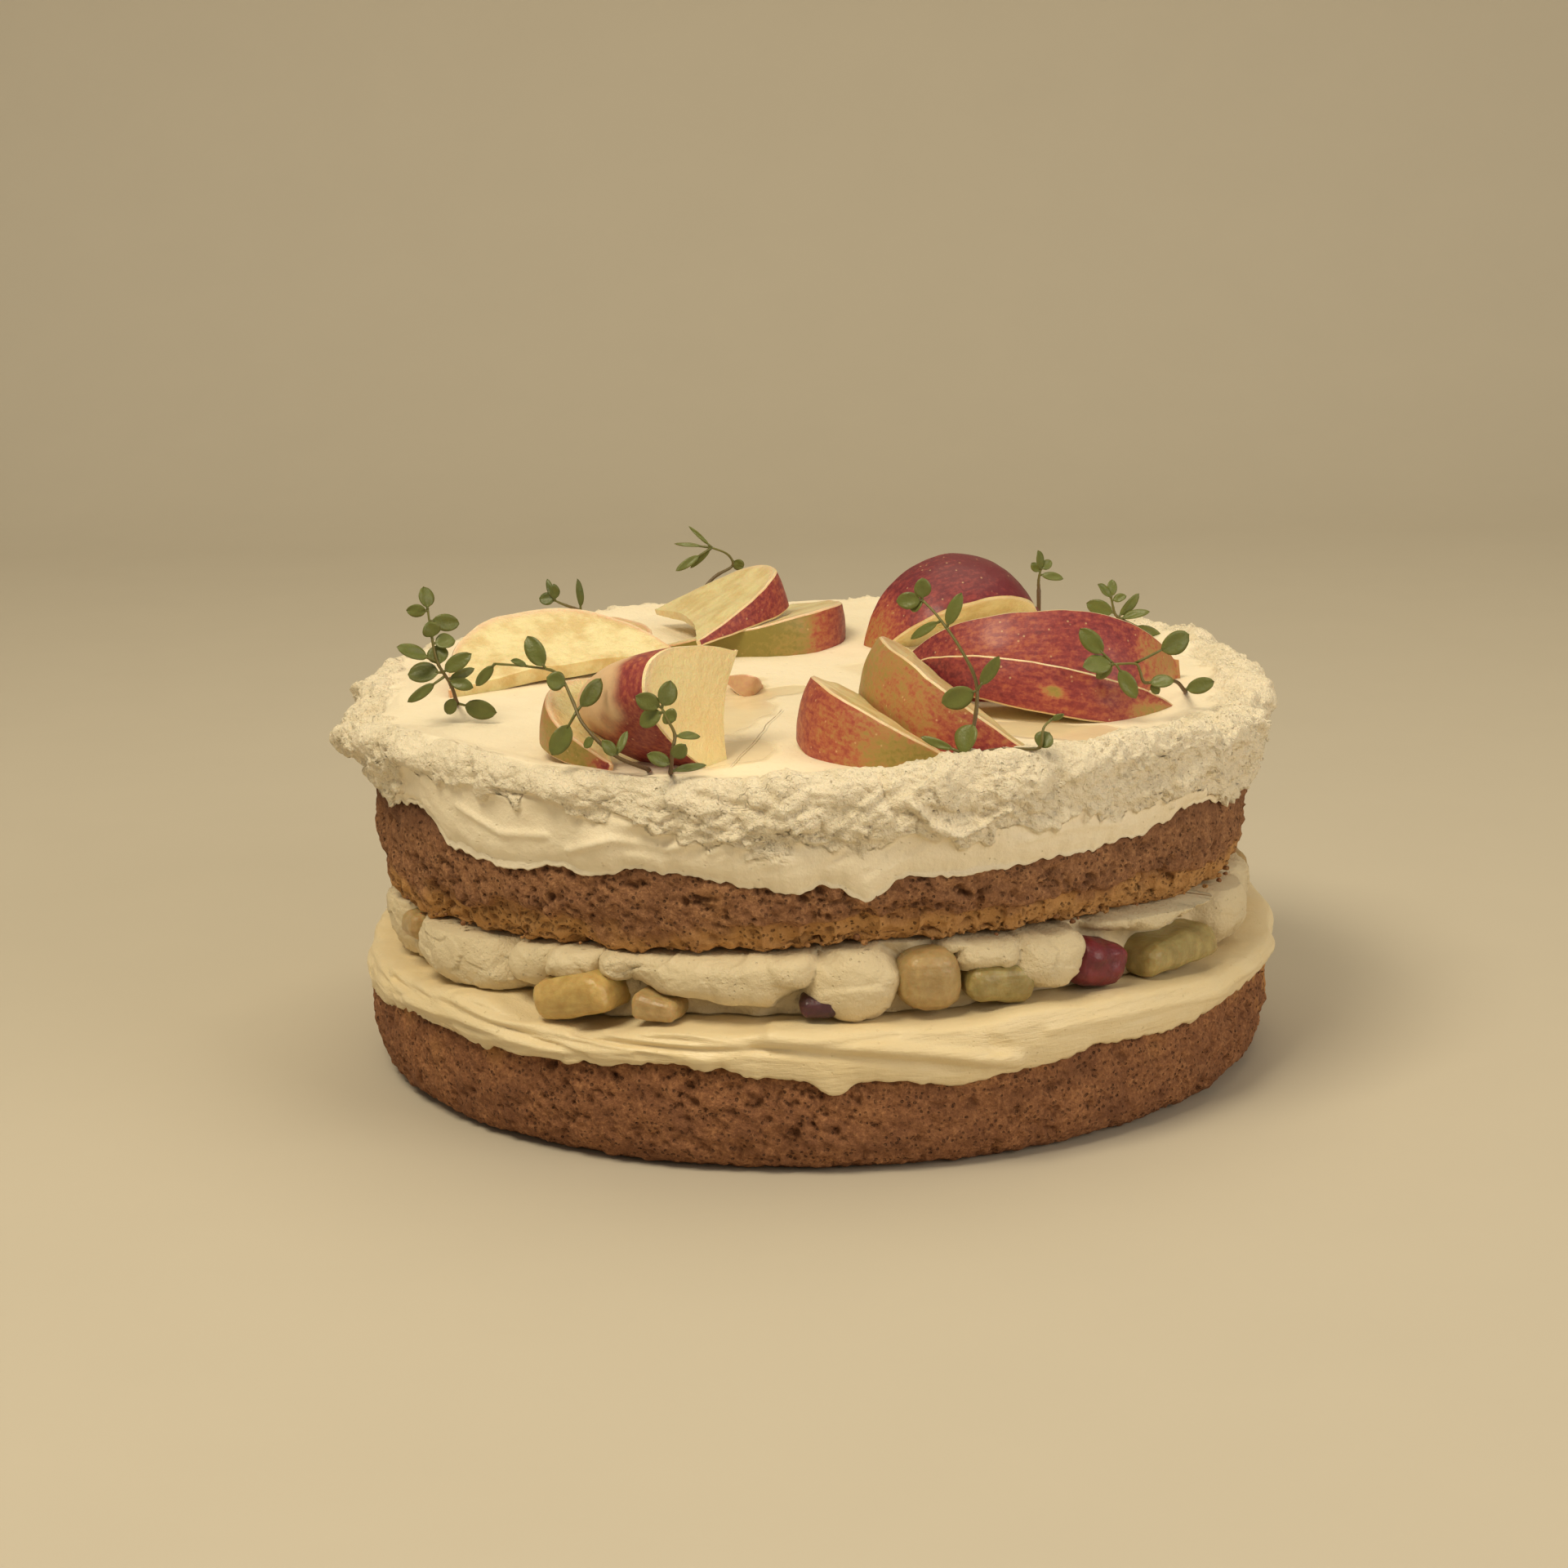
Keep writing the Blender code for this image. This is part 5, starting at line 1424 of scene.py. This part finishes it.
# sprigs of thyme: the stem's points, then its leaves as place along the stem, bearing as seen from the
# front, lean, reach and width
sprigs = (
    ("upright",
     ((-76, -36, 85), (-77, -38, 89.5), (-79.5, -39, 94.5), (-80.5, -38, 99.5), (-81.5, -36, 106.5)),
     ((0.96, 97, 10, 4.9, 2.9), (0.95, 175, -15, 4.6, 2.2), (0.88, -10, 20, 6.6, 2.9),
      (0.75, 93, -25, 3.8, 3.2), (0.7, 6, 15, 4.8, 2.9), (0.51, 155, -20, 9.2, 2.7),
      (0.46, 97, 30, 4.6, 3.6), (0.39, 34, -10, 7.3, 2.7), (0.39, -176, 15, 7.9, 3.8),
      (0.35, -148, -25, 9.8, 1.8), (0.31, 17, 25, 6.4, 1.6), (0.3, -14, -20, 5.6, 2.2),
      (0.08, -118, 20, 4.5, 2.2), (0, -14, -10, 8.7, 3.4))),
    ("arching",
     ((-33.5, -91, 82), (-40, -91, 85), (-46, -88, 90.5), (-48.5, -84, 95), (-51.5, -78, 99),
      (-57.5, -70, 99), (-65, -66, 99)),
     ((0.75, 120, 15, 7.6, 3.1), (0.85, 153, -20, 3.6, 1.3), (1, -131, 10, 6.3, 1.8),
      (0.58, 151, -15, 4.2, 3.1), (0.42, 49, 20, 8.2, 2.9), (0.42, -121, -10, 10, 3.2),
      (0.27, -134, 15, 3.1, 1.6), (0.16, 125, -20, 4.3, 2), (0.16, 65, 25, 5.6, 1.3))),
    ("front_small",
     ((-29, -96, 82.5), (-28.5, -97, 87), (-28, -96, 90), (-29.5, -95, 93), (-30.5, -94, 95)),
     ((0.99, 68, 10, 5.6, 3.4), (1, 152, -15, 5.7, 2.9), (0.9, -151, 20, 5.9, 2.9),
      (0.9, -36, -20, 2.9, 2.7), (0.48, -4, 15, 5.1, 1.4), (0.16, 45, -10, 4, 2.5),
      (0.01, 8, 20, 7.4, 1.3), (0.09, 151, -25, 5.3, 2.2))),
    ("back_left",
     ((-55, 62, 87.5), (-57.5, 62, 88.5), (-60, 62, 89.5), (-61.5, 61, 90.5)),
     ((0.92, 170, 10, 4.1, 2.5), (0.95, 91, -15, 4.3, 2), (1, 109, 20, 5.5, 1.3),
      (0.03, 90, -10, 7.9, 1.6))),
    ("back_high",
     ((-27.5, 70, 89), (-23, 72, 93.5), (-19, 74, 95.5), (-18.5, 74, 97), (-20, 74, 99),
      (-23.5, 74, 100.5)),
     ((1, 136, 10, 7.8, 0.8), (1, -150, -20, 10.6, 1.6), (1, 174, 15, 9.5, 0.9),
      (1, -137, -10, 7.3, 1.1), (0.62, -36, 20, 3.5, 2.2))),
    ("tall",
     ((28.5, -91, 84), (30.5, -90, 90), (31, -88, 97.5), (28, -85, 104), (24, -81, 109.5),
      (21, -78, 112.5)),
     ((0.99, -179, 10, 5.4, 2.7), (1, 89, -20, 4.7, 2.7), (0.98, -144, 25, 3.4, 2),
      (0.72, 69, -10, 7.6, 2.2), (0.77, -149, 20, 7.6, 1.6), (0.36, 59, -15, 8.4, 2.2),
      (0.36, -159, 10, 7.6, 3.6), (0.2, -120, -25, 6.5, 4), (0, 160, 15, 9.4, 1.4))),
    ("front_curl",
     ((29.5, -91, 83.5), (33.5, -91, 84.5), (38, -90, 84.5), (42.5, -90, 84.5), (43.5, -91, 85.5),
      (44, -90, 88.5), (45.5, -89, 90)),
     ((0.54, 55, 10, 3.8, 3.1), (1, 24, -15, 2.9, 1))),
    ("back_right",
     ((56, 71, 89), (56, 71, 91.5), (56.5, 71, 94)),
     ((0.88, 133, 10, 3.1, 1.7), (1, 96, -15, 5, 1.9), (1, 37, 20, 3.6, 1.9),
      (0.75, -8, -10, 5.9, 1.7))),
    ("right_star",
     ((73.5, 40, 86.5), (71.5, 40, 88), (70.5, 40, 92)),
     ((0.55, 160, 10, 7.1, 3.1), (1, 130, -15, 4.8, 1.8), (1, 84, 20, 4.4, 1.9),
      (0.92, 20, -10, 3.6, 1.6), (0.32, 46, 15, 7.6, 2), (0.22, 18, -20, 7.2, 1.8),
      (0.05, -26, 10, 10.7, 2))),
    ("right",
     ((78.5, -36, 84.5), (76, -40, 87.5), (72, -44, 88.5), (68.5, -48, 89), (67.5, -48, 91.5),
      (66.5, -48, 93), (62, -48, 93)),
     ((1, 133, 10, 10.2, 3.1), (1, 179, -15, 6.6, 3.6), (1, -137, 20, 4.9, 1.8),
      (0.98, -60, -10, 8.4, 2.7), (0.83, 25, 15, 13.2, 3.8), (0.45, 7, -20, 5.5, 2.5),
      (0.03, 12, 10, 6.9, 2.7), (0.41, -62, -15, 2.9, 1.6))),
)
thymeLook = dict(
    leaf=(72, 84, 34),
    leafLight=(106, 112, 50),
    stem=(96, 70, 44),
    stemGreen=(112, 110, 48),
    stemRadius=0.42,
    stemSides=8,
    stemSteps=36,
    footDepth=0.8,  # the stem goes this far into the cream
    footLength=24,
    footReach=90,  # and its foot is no further out than this
    stalkRadii=(0.34, 0.3, 0.28, 0.24),
    stalkSides=6,
    widen=1.35,
    blade=6.8,  # the longest that a leaf is without its stalk
    thickness=0.5,
    twist=0.42,
    cup=0.24,
    ripple=0.10,
    veinDepth=0.10,
    stations=10,
    widthSteps=6,
)


def thymeMaterial(name):
    # field leafy is 0 on the twig and 1 on a leaf; vein marks the leaf's middle; age differs by leaf
    made, tree, shader = newMaterial(
        name, Roughness=0.42, Subsurface_Weight=0.10, Subsurface_Scale=0.001,
    )
    place = objectPlace(tree)
    look = thymeLook
    age = plus(tree, field(tree, "age"), times(tree, grain(tree, place, 1.8, 3), 0.5))
    leaf = ramp(tree, age, [(0.25, look["leaf"]), (0.95, look["leafLight"])])
    leaf = blendColours(tree, times(tree, field(tree, "vein"), 0.45), leaf, linear(look["leafLight"]))
    twig = blendColours(tree, field(tree, "age"), linear(look["stem"]), linear(look["stemGreen"]))
    colour = blendColours(tree, field(tree, "leafy"), twig, leaf)
    tree.links.new(colour, shader.inputs["Base Color"])
    relief(tree, shader, (grain(tree, place, 0.7, 3), 0.12))
    return made


def alongStem(points, share):
    # a point on the smooth line through the stem's points
    spans = len(points) - 1
    place = min(max(share, 0), 1) * spans
    k = min(int(place), spans - 1)
    t = place - k
    b, c = points[k], points[k + 1]
    a = points[k - 1] if k else b * 2 - c
    d = points[k + 2] if k + 2 <= spans else c * 2 - b
    return curveAt(a, b, c, d, t)


class Growth:
    # gathers the points, faces and fields of one sprig
    def __init__(self):
        self.points, self.faces = [], []
        self.fields = {"leafy": [], "vein": [], "age": []}

    def add(self, points, faces, leafy, vein, age):
        first = len(self.points)
        self.points += [tuple(p) for p in points]
        self.faces += [tuple(first + i for i in face) for face in faces]
        self.fields["leafy"] += [leafy] * len(points)
        self.fields["vein"] += list(vein)
        self.fields["age"] += list(age)


def tube(centres, radiusList, sides):
    # a round tube along the centres, closed at both ends
    rings, faces = [], []
    for k, centre in enumerate(centres):
        before, after = centres[max(k - 1, 0)], centres[min(k + 1, len(centres) - 1)]
        direction = (after - before).normalized()
        across = direction.cross(Vector((0.1, 1, 0.05))).normalized()  # no stem runs along this line
        other = direction.cross(across)
        for side in range(sides):
            angle = 2 * math.pi * side / sides
            rings.append(centre + radiusList[k] * (math.cos(angle) * across + math.sin(angle) * other))
    for k in range(len(centres) - 1):
        for side in range(sides):
            following = (side + 1) % sides
            low, high = k * sides, (k + 1) * sides
            faces.append((low + side, low + following, high + following, high + side))
    faces.append(tuple(range(sides - 1, -1, -1)))
    faces.append(tuple(range(len(rings) - sides, len(rings))))
    return rings, faces


def addStem(growth, points):
    look = thymeLook
    # the foot lies back into the cream, or goes straight down where that would miss the cake
    start = points[0]
    back = Vector([here - eye / mm for here, eye in zip(start, camera["place"])]).normalized()
    foot = start.copy()
    while (foot - start).length < look["footLength"]:
        if foot.z <= float(creamSurface(np.array(foot))) - look["footDepth"]:
            break
        foot += 0.5 * back
    if math.hypot(foot.x, foot.y) > look["footReach"]:
        foot = Vector((start.x, start.y, float(creamSurface(np.array(start))) - 1.0))
    steps = look["stemSteps"]
    shares = [0] + [k / steps for k in range(steps + 1)]
    centres = [foot] + [alongStem(points, share) for share in shares[1:]]
    knots = [1 + 0.18 * max(0, math.cos(share * 26)) ** 6 for share in shares]
    radiusList = [
        look["stemRadius"] * (1.05 - 0.5 * share) * knot for share, knot in zip(shares, knots)
    ]
    rings, faces = tube(centres, radiusList, look["stemSides"])
    ages = [share for share in shares for _ in range(look["stemSides"])]
    growth.add(rings, faces, 0.0, [0] * len(rings), ages)


def addLeaf(growth, base, bearing, lean, reach, width, seed):
    # a small cupped leaf on a short stalk, widest past its middle
    look = thymeLook
    width *= look["widen"]
    forward = Vector((math.cos(bearing), 0.8 * math.sin(lean), math.sin(bearing))).normalized()
    facing = Vector((0.25 * math.sin(bearing), -1, 0.35))
    side = forward.cross(facing).normalized()
    face = side.cross(forward).normalized()
    twist = Matrix.Rotation(look["twist"] * math.sin(seed * 2.4), 3, forward)
    side, face = twist @ side, twist @ face
    stalk = max(0.10, 1 - look["blade"] / reach)
    curl = 0.10 + 0.08 * math.sin(seed * 1.7)

    def spine(share):
        return base + forward * (reach * share) - face * (curl * reach * (share - stalk) ** 2)

    centres = [spine(share) for share in np.linspace(0, stalk + 0.06, len(look["stalkRadii"]))]
    rings, faces = tube(centres, look["stalkRadii"], look["stalkSides"])
    growth.add(rings, faces, 0.6, [0] * len(rings), [0.5] * len(rings))
    stations, across = look["stations"], look["widthSteps"]
    points, vein, age = [], [], []
    leafAge = 0.25 + 0.5 * abs(math.sin(seed * 3.1))
    for layer in (1, -1):
        for k in range(stations + 1):
            s = k / stations
            wide = math.sin(math.pi * min(1, s**0.82 * 0.97 + 0.03)) ** 0.62 * (0.82 + 0.30 * s)
            for j in range(across + 1):
                v = 2 * j / across - 1
                middle = spine(stalk + (1 - stalk) * s)
                cup = look["cup"] * abs(v) ** 1.6 * wide * width / 2
                thick = look["thickness"] / 2 * (1 - 0.75 * abs(v) ** 2) * min(1, 4 * wide)
                crease = -look["veinDepth"] * math.exp(-(v * v) / 0.03) if layer == 1 else 0.0
                ripple = look["ripple"] * math.sin(7 * s + 3 * v + seed)
                lift = face * (cup + layer * thick + crease + ripple)
                points.append(middle + side * (v * wide * width / 2) + lift)
                vein.append(math.exp(-(v * v) / 0.02) if layer == 1 else 0.6)
                age.append(leafAge)
    rowLength, half = across + 1, (stations + 1) * (across + 1)
    faces = []
    for k in range(stations):
        for j in range(across):
            a, b = k * rowLength + j, (k + 1) * rowLength + j
            faces.append((a, b, b + 1, a + 1))
            faces.append((half + a, half + a + 1, half + b + 1, half + b))
        for j, flip in ((0, False), (across, True)):
            a, b = k * rowLength + j, (k + 1) * rowLength + j
            quad = (a, half + a, half + b, b)
            faces.append(quad[::-1] if flip else quad)
    growth.add(points, faces, 1.0, vein, age)


def addThyme():
    made = thymeMaterial("thymeLeaf")
    for name, stem, leaves in sprigs:
        growth = Growth()
        stem = [Vector(p) for p in stem]
        addStem(growth, stem)
        for number, (share, bearing, lean, reach, width) in enumerate(leaves):
            base = alongStem(stem, share)
            seed = number + 3.3 * len(stem)
            addLeaf(growth, base, math.radians(bearing), math.radians(lean), reach, width, seed)
        addPiece(
            f"thymeSprig_{name}", growth.points, growth.faces, [made], [f"thyme_{name}"],
            growth.fields,
        )


addThyme()
print("stage: thyme")


crumbs = dict(
    count=110,
    smallest=0.3,
    largest=0.75,
    inside=(2.0, 4.2),  # how far inside the sponge's side, least and most
    above=(0.4, 2.4),  # how far above its underside
    seed=5,
)


def addCrumbs():
    # loose crumbs along the lower edge of the top sponge
    drawnCrumbs = np.random.default_rng(crumbs["seed"])
    points, faces, tones = [], [], []
    for _ in range(crumbs["count"]):
        azimuth = drawnCrumbs.uniform(0, 360)
        size = crumbs["smallest"] + (crumbs["largest"] - crumbs["smallest"]) * drawnCrumbs.random() ** 2
        side = float(upperSide(np.array(azimuth)))
        radius = side - drawnCrumbs.uniform(*crumbs["inside"])
        z = float(fillingRoof(np.array(azimuth), radius)) + drawnCrumbs.uniform(*crumbs["above"])
        centre = pointsAt(azimuth, radius, z) + radii["upperShift"]
        work = bmesh.new()
        bmesh.ops.create_icosphere(work, subdivisions=2, radius=size)
        shape = np.array([tuple(vertex.co) for vertex in work.verts])
        first = len(points)
        faces += [tuple(first + vertex.index for vertex in face.verts) for face in work.faces]
        work.free()
        shape = shape * (1 + 0.35 * wavy(shape + centre * 3, size * 1.1, 2))[:, None]
        points += (shape * [1, 1, 0.8] + centre).tolist()
        tones += [0.45 + 0.5 * drawnCrumbs.random()] * len(shape)
    made = spongeMaterial("looseCrumb", spongeLook["crumbTint"])
    fields = {"tone": tones, "pit": [0.0] * len(points)}
    addPiece("looseCrumbs", points, faces, [made], None, fields)


addCrumbs()
print("stage: crumbs")
